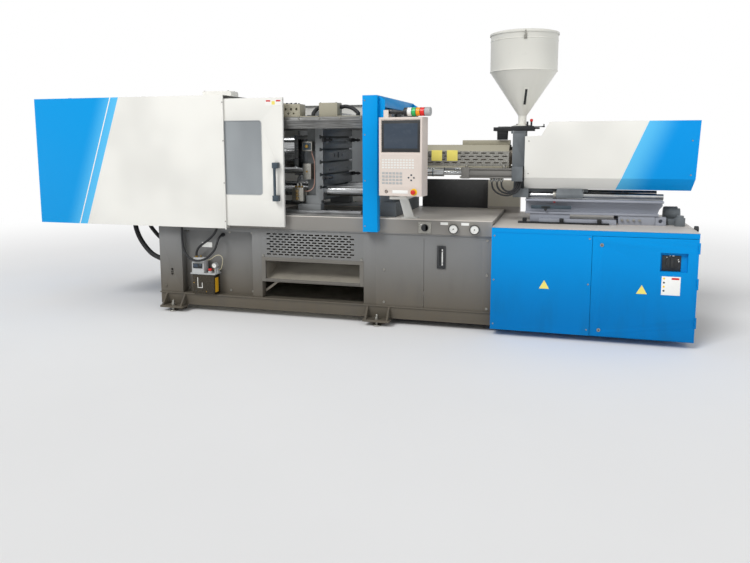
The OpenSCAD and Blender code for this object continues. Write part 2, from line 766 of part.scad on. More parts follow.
// Central lubrication pump: head, flange, fittings and bracket.
module lubricator_pump() {
  color([0.80, 0.80, 0.76]) placed() translate([0, front_move, 0]) {
    span([-1466, -700, 385], [-1196, -568, 397]);
    span([-1450, -694, 397 - eps], [-1320, -600, 500]);
    translate([-1450, 0, 0]) rotate([90, 0, 90]) linear_extrude(height = 130)
      polygon([[-694, 500 - eps], [-600, 500 - eps], [-600, 545], [-660, 545]]);
    // Gauge, outlet block and neck of the filler
    bar_y(-660, -620, -1222, 473, 26);
    bar_z(397 - eps, 453, -1222, -640, 8);
    span([-1240, -630, 397 - eps], [-1200, -590, 443]);
    difference() {
      bar_z(397 - eps, 417, -1268, -660, 20);
      bar_z(399, 422, -1268, -660, 12 + hole_gap);
    }
    // Bracket to the recessed sheet
    span([-1430, -568 - eps, 367], [-1220, -564 - eps, 391]);
  }
}

// Clear oil tank of the lubricator.
module lubricator_tank() {
  color([0.35, 0.30, 0.22, 0.6]) placed() translate([0, front_move, 0]) difference() {
    span([-1452, -690, 186], [-1210, -570, 385 - eps]);
    span([-1447, -685, 192], [-1215, -575, 386]);
  }
}

// Red filler cap of the lubricator that is pressed to prime it.
module lubricator_cap() {
  color([0.85, 0.20, 0.15]) placed() translate([0, front_move, 0]) union() {
    bar_z(407, 425, -1268, -660, 12);
    bar_z(425 - eps, 441, -1268, -660, 19);
  }
}

// Thin hoses at the lubricator.
loop_a = [[-1548, -656.4, 905], [-1548, -663, 905], [-1548, -670, 904], [-1550, -684, 880],
  [-1552, -690, 806], [-1550, -692, 730], [-1540, -694, 650], [-1500, -704, 575],
  [-1430, -714, 533], [-1348, -716, 527], [-1271, -712, 557], [-1195, -704, 630],
  [-1172, -693, 688], [-1163, -664, 746], [-1161, -600, 772], [-1161, -582, 772],
  [-1161, -564.4, 772]];
loop_b = [[-1162, -656.4, 905], [-1162, -663, 905], [-1162, -670, 904], [-1164, -683, 880],
  [-1174, -682, 838], [-1212, -670, 786], [-1276, -654, 731], [-1353, -640, 681],
  [-1405, -632, 640], [-1428, -630, 600], [-1432, -630, 575], [-1432, -630, 560],
  [-1432, -630, 545.4]];
module small_hoses() {
  color([0.12, 0.13, 0.14]) placed() translate([0, front_move, 0]) {
    hose(loop_a, 11, 3, 8);
    hose(loop_b, 11, 3, 8);
  }
}

// Cable conduits under the hood and the corrugated hoses at the junction box.
conduit_a = [[-2270, 0, 1369.6], [-2270, 0, 1350], [-2270, 0, 1330], [-2270, -60, 1240],
  [-2271, -200, 1070], [-2268, -380, 930], [-2262, -430, 830],
  [-2200, -445, 680], [-2080, -450, 540], [-1960, -450, 480], [-1890, -450, 462],
  [-1870, -450, 462], [-1855, -450, 462], [-1838.4, -450, 462]];
conduit_b = [[-2120, 0, 1369.6], [-2120, 0, 1350], [-2120, 0, 1330], [-2118, -60, 1240],
  [-2112, -190, 1080], [-2105, -370, 950], [-2090, -425, 840],
  [-2010, -440, 745], [-1930, -445, 680], [-1880, -445, 660], [-1865, -445, 658],
  [-1852, -445, 658], [-1838.4, -445, 658]];
conduit_c = [[65.4, -530, 2010], [74, -530, 2010], [84, -530, 2010], [130, -540, 2012],
  [190, -565, 1996], [240, -590, 1966], [260, -600, 1948], [260, -600, 1940], [260, -600, 1933],
  [260, -600, 1925.4]];
conduit_d = [[-113.4, -530, 2010], [-120, -530, 2010], [-127, -530, 2010], [-158, -555, 1990],
  [-176, -590, 1955], [-176, -600, 1943], [-176, -600, 1934], [-176, -600, 1925.4]];
module conduits() {
  color([0.14, 0.15, 0.16]) placed() {
    hose(conduit_a, 25, 3, 10);
    hose(conduit_b, 20, 3, 10);
    translate([0, front_move, 0]) hose(conduit_c, 18, 3, 10);
    translate([0, front_move, 0]) hose(conduit_d, 18, 3, 10);
  }
}

// Shell and tube oil cooler on the rear of the base.
module oil_cooler() {
  color([0.20, 0.42, 0.62]) placed() {
    difference() {
      union() {
        bar_x(1600, 2700, cooler_y, 560, 76);
        for (x = [1560, 2700 - eps]) bar_x(x, x + 40 + eps, cooler_y, 560, 88);
        for (x = [1580, 2720]) bar_z(560, 690, x, cooler_y, 34);
      }
      // Water ports, each with a wider chamber under it
      for (x = [1580, 2720]) {
        bar_z(640, 691, x, cooler_y, 24);
        bar_z(580, 640 + eps, x, cooler_y, 28);
      }
    }
    for (x = [1680, 2560]) {
      span([x, base_half + eps, 520], [x + 40, cooler_y - 70, 600]);
      difference() {
        bar_x(x, x + 40, cooler_y, 560, 84);
        bar_x(x - 1, x + 41, cooler_y, 560, 75);
      }
    }
  }
}

// Pump, motor and filter at the injection end of the table.
module pump_motor() {
  color([0.45, 0.47, 0.49]) placed() {
    bar_x(2955, 3070, -60, 1036, 68);
    bar_x(3070 - eps, 3090, -60, 1036, 56);
    span([2975, -120, side_table_z + eps], [3050, 0, 1000]);
    bar_z(side_table_z + eps, 1030, 3060, -300, 42);
    bar_z(1030 - eps, 1050, 3060, -300, 30);
    span([2970, -250, side_table_z + eps], [3080, -170, 1010]);
  }
}

// Sheet arm that carries the control panel from the table.
module panel_arm() {
  color([0.90, 0.90, 0.88]) placed() {
    // Foot plate and rear strut
    span([680, -base_half + 10, table_z + eps], [820, -base_half + 110, table_z + 12]);
    translate([0, -base_half + 50, 0]) rotate([90, 0, 0]) linear_extrude(height = 30)
      polygon([[704, table_z + 12 - eps], [792, table_z + 12 - eps], [724, 1200], [650, 1200]]);
    // Cranked arm to the swivel pin
    span([panel_x - 112, panel_y - 35, 1196], [panel_x + 40, -base_half + 50, 1220]);
    bar_z(1220 - eps, panel_low - eps, panel_x, panel_y, swivel_r + 10);
    bar_z(panel_low - 1, panel_low + 60, panel_x, panel_y, swivel_r - rod_gap);
  }
}

// Front sliding gate with window opening.
module front_gate() {
  color(cream) placed() {
    difference() {
      span([gate_right - gate_long, -hood_half + 8, gate_low], [gate_right, -hood_half + 38, gate_top]);
      span([gate_right - gate_long + skin, -hood_half + 8 + 3, gate_low + skin],
        [gate_right - skin, -hood_half + 39, gate_top - skin]);
      gate_hole(-hood_half + 4, 40, 0);
      // Screw holes of the handle
      for (z = [1165, 1472]) bar_y(-hood_half + 4, -hood_half + 30, gate_right - 64, z, 4);
    }
    // Hanger wheels blocks behind the top edge
    for (x = [gate_right - gate_long + 60, gate_right - 160]) {
      span([x, -hood_half + 11 - eps, 1890.5], [x + 60, -rail_out - 2.5, 1950]);
    }
  }
}

// Rounded window opening shape of a gate.
module gate_hole(y0, deep, grow) {
  r = 28;
  x0 = gate_right - gate_long + 180 - grow;
  x1 = gate_right - 216 + grow;
  z0 = 1191 - grow;
  z1 = 1887 + grow;
  translate([0, y0 + deep, 0]) rotate([90, 0, 0]) linear_extrude(height = deep) union() {
    translate([x0 + r, z0]) square([x1 - x0 - 2 * r, z1 - z0]);
    translate([x0, z0 + r]) square([x1 - x0, z1 - z0 - 2 * r]);
    for (x = [x0 + r, x1 - r]) {
      for (z = [z0 + r, z1 - r]) translate([x, z]) circle(r = r);
    }
  }
}

// Clear window of the front gate.
module front_gate_window() {
  color([0.62, 0.65, 0.66, 0.45]) placed() gate_hole(-hood_half + 11 + eps, 6, 18);
}

// Handle of the front gate.
module front_gate_handle() {
  y = -hood_half + 8;
  x = gate_right - 64;
  color(dark) placed() {
    for (z = [1165, 1472]) span([x - 26, y - 62, z - 26], [x + 26, y - eps, z + 26]);
    bar_z(1190, 1447, x - 8, y - 46, 13);
  }
}

// Rear gate, the mirror of the front one, closed over the mould area.
module rear_gate() {
  x0 = -1060;
  color(cream) placed() {
    difference() {
      span([x0, hood_half - 38, gate_low], [x0 + gate_long, hood_half - 8, gate_top]);
      span([x0 + skin, hood_half - 39, gate_low + skin],
        [x0 + gate_long - skin, hood_half - 11, gate_top - skin]);
      span([x0 + 220, hood_half - 40, 1191], [x0 + gate_long - 180, hood_half, 1887]);
    }
    for (x = [x0 + 120, x0 + gate_long - 120]) {
      span([x, rail_out + 2.5, 1890.5], [x + 60, hood_half - 11 + eps, 1950]);
    }
    // Bow handle
    for (z = [1240, 1440]) span([x0 + gate_long - 108, hood_half - 8 - eps, z - 14],
      [x0 + gate_long - 80, hood_half + 40, z + 14]);
    span([x0 + gate_long - 108, hood_half + 22, 1240], [x0 + gate_long - 80, hood_half + 40, 1440]);
  }
}

// Clear window of the rear gate.
module rear_gate_window() {
  x0 = -1060;
  color([0.62, 0.65, 0.66, 0.45]) placed()
    span([x0 + 202, hood_half - 17 - eps, 1173], [x0 + gate_long - 162, hood_half - 11 - eps, 1905]);
}

// Moving platen with mould slots, ejector hole, guide shoes and rear rib box.
module moving_platen() {
  color([0.50, 0.51, 0.52]) placed() difference() {
    union() {
      span([moving_face - 75, -slide_y, axis_z - platen_half_z],
        [moving_face, slide_y, axis_z + platen_half_z]);
      span([moving_back, -400, axis_z - 390], [moving_face - 75 + eps, 400, axis_z + 390]);
      for (s = [-1, 1]) {
        span([moving_back - 60, s * slide_y - 50, table_z + 42 + 0.5],
          [moving_face - 10, s * slide_y + 50, table_z + 100]);
        span([moving_back, s * 435 - 35, table_z + 100 - eps],
          [moving_face - 20, s * 435 + 35, axis_z - 380]);
      }
    }
    for (y = [-1, 1]) {
      for (z = [-1, 1]) {
        bar_x(moving_back - 1, moving_face + 1, y * tie_half, axis_z + z * tie_half, tie_r + tie_gap);
        bar_x(moving_face - 60, moving_face + 1, y * bolt_space / 2, axis_z + z * bolt_space / 4,
          bolt_r);
      }
    }
    for (z = [-300, -180, -60, 60, 180, 300]) {
      span([moving_face - 22, -slide_y - 1, axis_z + z - 9],
        [moving_face + 1, slide_y + 1, axis_z + z + 9]);
      span([moving_face - 34, -slide_y - 1, axis_z + z - 17],
        [moving_face - 14, slide_y + 1, axis_z + z + 17]);
    }
    bar_x(moving_back - 1, moving_face + 1, 0, axis_z, 32);
    // Pocket for the ejector plate behind the platen
    span([moving_back - 1, -160, axis_z - 160], [moving_face - 90, 160, axis_z + 160]);
    for (s = [-1, 1]) bar_x(moving_face - 91, moving_face + 1, s * 120, axis_z, 18 + rod_gap);
  }
}

// Clamp ram and the rods of the two travel cylinders.
module clamp_ram() {
  color(steel) placed() {
    bar_x(rear_face - 120, moving_back - 220, 0, axis_z, ram_r);
    difference() {
      span([moving_back - 220 + eps, -200, axis_z - 200], [moving_back - eps, 200, axis_z + 200]);
      span([moving_back - 180, -201, axis_z - 160], [moving_back + 1, 201, axis_z + 160]);
    }
    for (s = [-1, 1]) bar_x(rear_face - 40, moving_back - eps, s * 250, axis_z + s * 150, 30);
  }
}

// Hydraulic manifold and fittings on the side of the moving platen.
module manifold_block() {
  color([0.66, 0.66, 0.63]) placed() {
    span([moving_back - 120, -520, 1120], [moving_back - 5, -402, 1250]);
    for (x = [-80, -45]) bar_z(1250 - eps, 1290, moving_back + x, -470, 12);
    for (z = [1150, 1185, 1220]) bar_y(-540, -520 + eps, moving_back - 60, z, 11);
    span([moving_back - 20, -480, 1330], [moving_back + 60, -400 - eps, 1480]);
    span([moving_back - 30, -470, 1600], [moving_back + 70, -400 - eps, 1690]);
    bar_x(moving_back - 5 - eps, moving_back - eps, -420, 1180, 30);
  }
}

// Ejector plate with its two push rods and centre rod.
module ejector_plate() {
  color(steel) placed() {
    span([moving_back - 60, -150, axis_z - 60], [moving_back - 20, 150, axis_z + 60]);
    for (s = [-1, 1]) bar_x(moving_back - 20 - eps, moving_face - 10, s * 120, axis_z, 18);
    bar_x(moving_back - 20 - eps, moving_face - 30, 0, axis_z, 28);
  }
}

// Feed block and carriage body of the injection unit.
module feed_block() {
  color([0.42, 0.44, 0.46]) placed() difference() {
    union() {
      span([1622, -200, 1330], [1732, 200, 1760]);
      span([1600, -120, 1760 - eps], [1736, 120, 1784]);
      span([1632, -370, 1330 + eps], [1728, 370, 1460]);
      // Sledge: a flat frame on four bearing housings that run on the guide rods
      span([1640, -guide_y + 20, guide_z + 28], [2300, guide_y - 20, guide_z + 60]);
      for (s = [-1, 1]) {
        span([1640, s * guide_y - 60, guide_z - 20], [1780, s * guide_y + 60, guide_z + 60]);
        span([2030, s * guide_y - 46, guide_z - 20], [2250, s * guide_y + 46, guide_z + 60]);
        difference() {
          bar_x(2024, 2256, s * guide_y, guide_z, 50);
          span([2020, s * guide_y - 60, guide_z - 60], [2260, s * guide_y + 60, guide_z - 20]);
        }
      }
      span([1640, -200, guide_z + 60 - eps], [1728, 200, 1331]);
      // Injection cylinders
      for (s = [-1, 1]) {
        bar_x(1732 - eps, 2200, s * 180, axis_z, 62);
        bar_x(2170, 2200, s * 180, axis_z, 70);
      }
    }
    for (s = [-1, 1]) bar_x(1750, 2201, s * 180, axis_z, 28 + rod_gap);
    bar_x(1600, 1800, 0, axis_z, barrel_r + 0.02);
    bar_z(axis_z, 1790, hopper_x, 0, 30);
    for (s = [-1, 1]) {
      bar_x(1630, 2260, s * guide_y, guide_z, guide_r);
      span([1639, s * guide_y - 14, guide_z - 21], [2261, s * guide_y + 14, guide_z]);
      bar_x(1620, 1740, s * cyl_y, cyl_z, cyl_r + 1);
    }
    span([1790, -guide_y + 76, guide_z - 21], [2200, guide_y - 76, guide_z + 61]);
  }
}

// Barrel with nozzle, bored for the screw.
module barrel() {
  color([0.62, 0.60, 0.57]) placed() difference() {
    union() {
      bar_x(700, 1860, 0, axis_z, barrel_r);
      bar_x(600, 700 + eps, 0, axis_z, 62);
      translate([425, 0, axis_z]) rotate([0, 90, 0]) cylinder(h = 175 + eps, r1 = 24, r2 = 36);
    }
    bar_x(640, 1861, 0, axis_z, screw_r + screw_gap);
    bar_x(424, 641, 0, axis_z, 4);
    bar_z(axis_z, axis_z + 100, hopper_x, 0, 28);
  }
}

// Heater bands on the barrel.
module heater_bands() {
  color([0.55, 0.55, 0.54]) placed() for (x = [730, 890, 1050, 1210, 1370]) {
    difference() {
      bar_x(x, x + 120, 0, axis_z, barrel_r + 12);
      bar_x(x - 1, x + 121, 0, axis_z, barrel_r + 0.1);
    }
  }
}

// Sheet guard over the barrel: bevelled roof and rear side.
module barrel_guard() {
  x0 = 640;
  x1 = 1590;
  color([0.62, 0.60, 0.53]) placed() {
    translate([x0, 0, 0]) rotate([90, 0, 90]) linear_extrude(height = x1 - x0) difference() {
      polygon([[-160, 1440], [-160, 1596], [-110, 1656], [110, 1656], [160, 1596], [160, 1440]]);
      polygon([[-156, 1439], [-156, 1594], [-108, 1652], [108, 1652], [156, 1594], [156, 1439]]);
      translate([-161, 1458]) square([8, 138]);
    }
    // Cable duct on the roof
    difference() {
      span([1141, -60, 1656 + eps], [1590, 20, 1700]);
      span([1145, -56, 1655], [1586, 16, 1696]);
    }
  }
}

// Slotted front sheet of the barrel guard.
module guard_grille() {
  color([0.50, 0.51, 0.51]) placed() difference() {
    span([640, -160, 1458 + eps], [1590, -156, 1596 - eps]);
    for (row = [0 : 3]) {
      for (col = [0 : 11]) {
        x = 668 + 78 * col + (row % 2) * 39;
        z = 1489 + 30 * row;
        if (x < 1530) span([x, -161, z - 5], [x + 48, -155, z + 5]);
      }
    }
  }
}

// Two cylinders that pull the injection unit against the mould.
module carriage_cylinder() {
  color([0.52, 0.53, 0.54]) placed() for (s = [-1, 1]) {
    difference() {
      union() {
        bar_x(1205, 1731, s * cyl_y, cyl_z, cyl_r);
        span([1180, s * cyl_y - 50, cyl_z - 50], [1250, s * cyl_y + 50, cyl_z + 50]);
        for (dy = [-38, 38]) {
          for (dz = [-38, 38]) bar_x(1249, 1631, s * cyl_y + dy, cyl_z + dz, 7);
        }
      }
      bar_x(1179, 1700, s * cyl_y, cyl_z, pull_r);
    }
  }
}

// Hood over the injection cylinders and the screw motor.
module injection_hood() {
  x0 = hood2_left;
  color(cream) placed() difference() {
    hood2_body(x0, half_l, hood2_half, 0);
    hood2_body(x0 - 1, half_l - skin, hood2_half - skin, skin);
    span([x0 - 2, -140, 1300], [x0 + 10, 140, hood2_top - 140]);
  }
}

// Solid shape of the injection hood, grown inward by t.
module hood2_body(x0, x1, half, t) {
  intersection() {
    translate([x0, 0, 0]) rotate([90, 0, 90]) linear_extrude(height = x1 - x0)
      polygon([[-half + 70, hood2_low - 1 * sign(t)], [-half, hood2_bend], [-half, hood2_top - t],
        [half, hood2_top - t],
        [half, hood2_bend], [half - 70, hood2_low - 1 * sign(t)]]);
    translate([0, 400, 0]) rotate([90, 0, 0]) linear_extrude(height = 800)
      polygon([[x0, hood2_low - 2], [x1 - 40, hood2_low - 2], [x1 - 20, hood2_bend],
        [x1, hood2_top - t],
        [hood2_left + 212 + t, hood2_top - t], [hood2_left + 140 + t, 1738 - t], [x0, 1733 - t]]);
  }
}

// Cross plate with the screw motor that moves forward on injection.
module drive_plate() {
  color([0.40, 0.42, 0.44]) placed() {
    difference() {
      union() {
        span([2260, -230, 1400], [2360, 230, 1710]);
        bar_x(2360 - eps, 2700, 0, axis_z, 130);
        bar_x(2700 - eps, 2740, 0, axis_z, 90);
      }
      bar_x(2259, 2420, 0, axis_z, 40.05);
    }
    // Piston rods of the injection cylinders
    for (s = [-1, 1]) bar_x(1760, 2260 + eps, s * 180, axis_z, 28);
  }
}

// Plasticising screw with a plain flight envelope.
module screw() {
  color(steel) placed() {
    bar_x(700, 1900, 0, axis_z, screw_r);
    bar_x(1900 - eps, 2420, 0, axis_z, 40);
    translate([650, 0, axis_z]) rotate([0, 90, 0]) cylinder(h = 50 + eps, r1 = 6, r2 = screw_r);
  }
}

// Sheet metal hopper: cylinder, cone, neck and flange with a sight slot.
module hopper() {
  w = hopper_wall;
  color([0.90, 0.90, 0.88]) placed() translate([hopper_x, 0, 0]) difference() {
    union() {
      rotate_extrude() polygon([[neck_r - w, hopper_foot], [80, hopper_foot], [80, hopper_foot + 10],
        [neck_r, hopper_foot + 10], [neck_r, hopper_neck], [hopper_r, hopper_cone],
          [hopper_r, hopper_top],
        [hopper_r + 5, hopper_top], [hopper_r + 5, hopper_top + 6], [hopper_r - w, hopper_top + 6],
        [hopper_r - w, hopper_cone + 1], [neck_r - w, hopper_neck + 1]]);
    }
    // Sight slot in the cone
    rotate([0, 0, 12]) translate([-9, -hopper_r, 2030]) cube([18, hopper_r, 125]);
    for (a = [45 : 90 : 359]) rotate([0, 0, a]) translate([63, 0, hopper_foot - 1]) cylinder(h = 20,
      r = 5);
  }
}

// Loose lid of the hopper.
module hopper_lid() {
  r = hopper_r + 8;
  color([0.90, 0.90, 0.88]) placed() translate([hopper_x, 0, 0])
    rotate_extrude() polygon([[0, hopper_top + 6 + eps], [r - 2, hopper_top + 6 + eps],
      [r - 2, hopper_top - 10],
      [r, hopper_top - 10], [r, hopper_top + 9], [r - 40, hopper_top + 20], [0, hopper_top + 34]]);
}

// Slide base under the hopper with the clamps and the end knobs.
module hopper_base() {
  color([0.38, 0.40, 0.42]) placed() {
    difference() {
      union() {
        span([1436, -110, 1784 + eps], [1808, 110, 1800]);
        // Side guides of the sliding hopper foot
        for (s = [-1, 1]) {
          span([1436, s * 104 - 6, 1800 - eps], [1808, s * 104 + 6, 1819]);
          span([1436, s * 98.5 - 4, 1812], [1808, s * 98.5 + 4, 1819]);
        }
      }
      bar_z(1780, 1840, hopper_x, 0, neck_r - 3);
      bar_z(1780, 1840, hopper_x - 192, 0, neck_r - 3);
    }
    // Hanging chute for cleaning out material
    translate([1470, 0, 0]) rotate([90, 0, 90]) linear_extrude(height = 90) difference() {
      polygon([[-104, 1784], [60, 1784], [20, 1702], [-90, 1702]]);
      polygon([[-100, 1785], [56, 1785], [17, 1701], [-86, 1701]]);
    }
  }
}

// Foot block that slides with the hopper and guides the shut-off plate.
module hopper_carriage() {
  color([0.38, 0.40, 0.42]) placed() difference() {
    union() {
      span([hopper_x - 92, -97, 1800.5], [hopper_x + 112, 97, 1811]);
      span([hopper_x - 92, -93, 1811 - eps], [hopper_x + 112, 93, hopper_foot - 12]);
      for (s = [-1, 1]) {
        span([hopper_x - 92, s * 76 - 14, hopper_foot - 12 - eps],
          [hopper_x + 112, s * 76 + 14, hopper_foot - eps]);
      }
      // Knobs of the two clamp screws and the pull lug
      for (x = [52, 88]) bar_z(hopper_foot - eps, hopper_foot + 40, hopper_x + x, -78, 9);
      span([hopper_x + 112 - eps, -60, 1802], [hopper_x + 160, 60, 1817]);
    }
    bar_z(1800, 1840, hopper_x, 0, neck_r - 3);
  }
}

// Flat shut-off slide in the hopper neck with its pull rod.
module hopper_shutter() {
  color(steel) placed() {
    difference() {
      span([hopper_x - 85, -60, hopper_foot - 12 + 0.5], [hopper_x + 110, 60, hopper_foot - 0.5]);
      bar_z(1810, 1840, hopper_x, 0, neck_r - 3);
    }
    bar_x(1470, hopper_x - 85 + eps, -20, hopper_foot - 6, 4);
    bar_x(hopper_x + 110 - eps, 1870, 0, hopper_foot - 6, 5);
  }
}

// Control panel housing with screen and key field recesses.
module control_panel() {
  w = panel_wide;
  d = panel_deep;
  color([0.88, 0.86, 0.84]) placed() panel_place() difference() {
    union() {
      span([-w / 2, -d / 2, panel_low], [w / 2, d / 2, panel_low + panel_high]);
      span([-w / 2 + 40, d / 2 - eps, panel_low + 120],
        [w / 2 - 40, d / 2 + 30, panel_low + panel_high - 60]);
      // Ears and pin that carry the signal lamp
      for (y = [-26, 36]) span([-172, y, panel_low + panel_high - eps],
        [-128, y + 10, panel_low + panel_high + 64]);
      bar_y(-20, 40, -150, panel_low + panel_high + 46, 6);
    }
    // Screen recess and key field recess
    span([-w / 2 + 18, -d / 2 - 1, panel_low + panel_high - 300],
      [w / 2 - 14, -d / 2 + 6, panel_low + panel_high - 18]);
    span([-w / 2 + 18, -d / 2 - 1, panel_low + 84],
      [w / 2 - 26, -d / 2 + 1.5, panel_low + panel_high - 316]);
    // Swivel bore, button bore and port
    bar_z(panel_low - 1, panel_low + 62, 0, 0, swivel_r);
    bar_y(-d / 2 - 1, -d / 2 + 26, 124, panel_low + 36, 12 + hole_gap);
    bar_y(-d / 2 - 1, -d / 2 + 10, -126, panel_low + 36, 9);
  }
}

// Places children in the turned frame of the control panel.
module panel_place() {
  translate([panel_x, panel_y, 0]) rotate([0, 0, -panel_turn]) children();
}

// Emergency stop button with mushroom head.
module estop_button() {
  d = panel_deep;
  color([0.85, 0.12, 0.12]) placed() panel_place() {
    bar_y(-d / 2 - 14, -d / 2 + 18, 124, panel_low + 36, 12);
    bar_y(-d / 2 - 30, -d / 2 - 14 + eps, 124, panel_low + 36, 20);
  }
}

// Signal lamp, folded down along the top of the panel.
module signal_lamp() {
  z = panel_low + panel_high + 46;
  color([0.85, 0.85, 0.84]) placed() panel_place() {
    bar_x(6, 230, 10, z, 37);
    bar_x(230 - eps, 240, 10, z, 33);
    bar_x(-132, 6 + eps, 10, z, 14);
    // Foot that turns on the pin between the ears
    difference() {
      span([-166, -15, z - 16], [-130, 35, z + 16]);
      bar_y(-16, 36, -150, z, 6 + rod_gap);
    }
  }
}

// Door of the electric cabinet with the recess of the main switch.
module cabinet_door() {
  gap = 3;
  x0 = cab_seam + gap;
  x1 = cab_right - 1;
  color(blue) placed() difference() {
    union() {
      span([x0, cab_front, base_foot + 4], [x1, cab_front + 22, cab_lip - gap]);
      span([2856, cab_front + 22 - eps, 626], [3074, cab_front + 60, 801]);
      for (z = hinge_z) {
        bar_z(z, z + 25.5, cab_right, cab_front, hinge_r);
        bar_z(z + 64.5, z + 90, cab_right, cab_front, hinge_r);
      }
    }
    span([x0 + 3, cab_front + 3, base_foot + 8], [2850, cab_front + 30, cab_lip - gap - 3]);
    span([2862, cab_front - 1, 636], [3068, cab_front + 40, 791]);
    bar_y(cab_front + 39, cab_front + 61, 2950, 711, 10 + hole_gap);
    for (z = [116, 837]) bar_y(cab_front - 1, cab_front + 30, 2408, z, 11 + hole_gap);
    for (z = hinge_z) {
      bar_z(z + 25.5, z + 64.5, cab_right, cab_front, hinge_r + 1);
      bar_z(z - 1, z + 91, cab_right, cab_front, hinge_pin + rod_gap);
    }
  }
}

module door_lock(z) {
  bar_y(cab_front - 5, cab_front + 24, 2408, z, 11);
  bar_y(cab_front - 5, cab_front - eps, 2408, z, 15);
  span([2399, cab_front + 24 - eps, z - 9], [2417, cab_front + 27, z + 96]);
}

module lock_upper() {
  color(steel) placed() door_lock(837);
}

module lock_lower() {
  color(steel) placed() door_lock(116);
}

// Rotary main switch in the recess of the door.
module main_switch_knob() {
  color(dark) placed() {
    bar_y(cab_front + 26, cab_front + 58, 2950, 711, 10);
    bar_y(cab_front + 22, cab_front + 38, 2950, 711, 46);
    span([2939, cab_front + 4, 672], [2961, cab_front + 22 + eps, 750]);
  }
}

// Mode switch on the table band.
module mode_switch_knob() {
  y = -base_half - 14;
  color(dark) placed() {
    bar_y(y - 12, y + 7, 900, 920, 14);
    bar_y(y - 12, y - eps, 900, 920, 32);
    span([890, y - 34, 892], [910, y - 12 + eps, 948]);
  }
}

base_frame();
base_panels();
vent_panel();
drop_chute();
foot_brackets();
machine_table();
clamp_hood();
platen_cover();
fixed_platen();
cylinder_platen();
tie_bars();
tie_bar_nuts();
gate_rails();
slideways();
top_junction_box();
purge_guard();
injection_beams();
guide_rods();
electric_cabinet();
pressure_gauges();
level_gauge();
lubricator_pump();
lubricator_tank();
small_hoses();
conduits();
oil_cooler();
pump_motor();
panel_arm();
front_gate();
front_gate_window();
front_gate_handle();
rear_gate();
rear_gate_window();
moving_platen();
clamp_ram();
manifold_block();
ejector_plate();
feed_block();
barrel();
heater_bands();
barrel_guard();
guard_grille();
carriage_cylinder();
injection_hood();
drive_plate();
screw();
hopper();
hopper_lid();
hopper_base();
hopper_carriage();
hopper_shutter();
control_panel();
estop_button();
signal_lamp();
cabinet_door();
lock_upper();
lock_lower();
main_switch_knob();
mode_switch_knob();
lubricator_cap();
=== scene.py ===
import json
import logging
import math
from dataclasses import dataclass
from enum import Enum
from typing import Iterable, Sequence

import bmesh
import bpy
from mathutils import Matrix, Vector

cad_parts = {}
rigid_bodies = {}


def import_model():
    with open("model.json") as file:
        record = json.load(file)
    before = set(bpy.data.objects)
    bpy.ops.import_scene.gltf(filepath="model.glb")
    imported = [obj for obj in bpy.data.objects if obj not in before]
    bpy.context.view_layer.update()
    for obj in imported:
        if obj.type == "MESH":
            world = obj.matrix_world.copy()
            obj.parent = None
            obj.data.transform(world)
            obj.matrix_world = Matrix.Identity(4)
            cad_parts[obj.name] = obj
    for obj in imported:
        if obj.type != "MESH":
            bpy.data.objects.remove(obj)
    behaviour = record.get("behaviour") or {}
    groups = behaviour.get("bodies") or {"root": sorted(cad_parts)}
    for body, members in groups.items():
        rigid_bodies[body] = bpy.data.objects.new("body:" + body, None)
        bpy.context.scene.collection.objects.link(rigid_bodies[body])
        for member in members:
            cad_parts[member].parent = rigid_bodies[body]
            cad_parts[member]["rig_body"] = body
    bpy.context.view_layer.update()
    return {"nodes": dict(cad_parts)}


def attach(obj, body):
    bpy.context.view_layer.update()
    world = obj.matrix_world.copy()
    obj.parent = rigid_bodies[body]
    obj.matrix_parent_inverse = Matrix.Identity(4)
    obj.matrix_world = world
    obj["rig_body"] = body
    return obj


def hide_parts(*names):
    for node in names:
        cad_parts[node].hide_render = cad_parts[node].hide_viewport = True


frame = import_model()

MM = 0.001
AXIS_Y = 0.072
LOG = logging.getLogger("moulding_machine")

Triple = tuple[float, float, float]
Pair = tuple[float, float]


class Axis(Enum):
    """The direction that a prism or a turned form runs along."""

    X = 0
    Y = 1
    Z = 2


class Facing(Enum):
    """The side of the machine that a screw or a plate looks out of."""

    FRONT = (0.0, -1.0, 0.0)
    BACK = (0.0, 1.0, 0.0)
    LEFT = (-1.0, 0.0, 0.0)
    RIGHT = (1.0, 0.0, 0.0)
    UP = (0.0, 0.0, 1.0)


def linear(colour: Triple) -> tuple[float, float, float, float]:
    """Turns a colour of 0 to 255 a channel into Blender's linear values, with full alpha."""
    parts = [c / 255.0 for c in colour]
    curve = [p / 12.92 if p <= 0.04045 else ((p + 0.055) / 1.055) ** 2.4 for p in parts]
    return (curve[0], curve[1], curve[2], 1.0)


def metres(point: Iterable[float]) -> Vector:
    """Turns a point in the machine's millimetres, centre line at y 0, into metres of the frame."""
    x, y, z = point
    return Vector((x * MM, y * MM + AXIS_Y, z * MM))


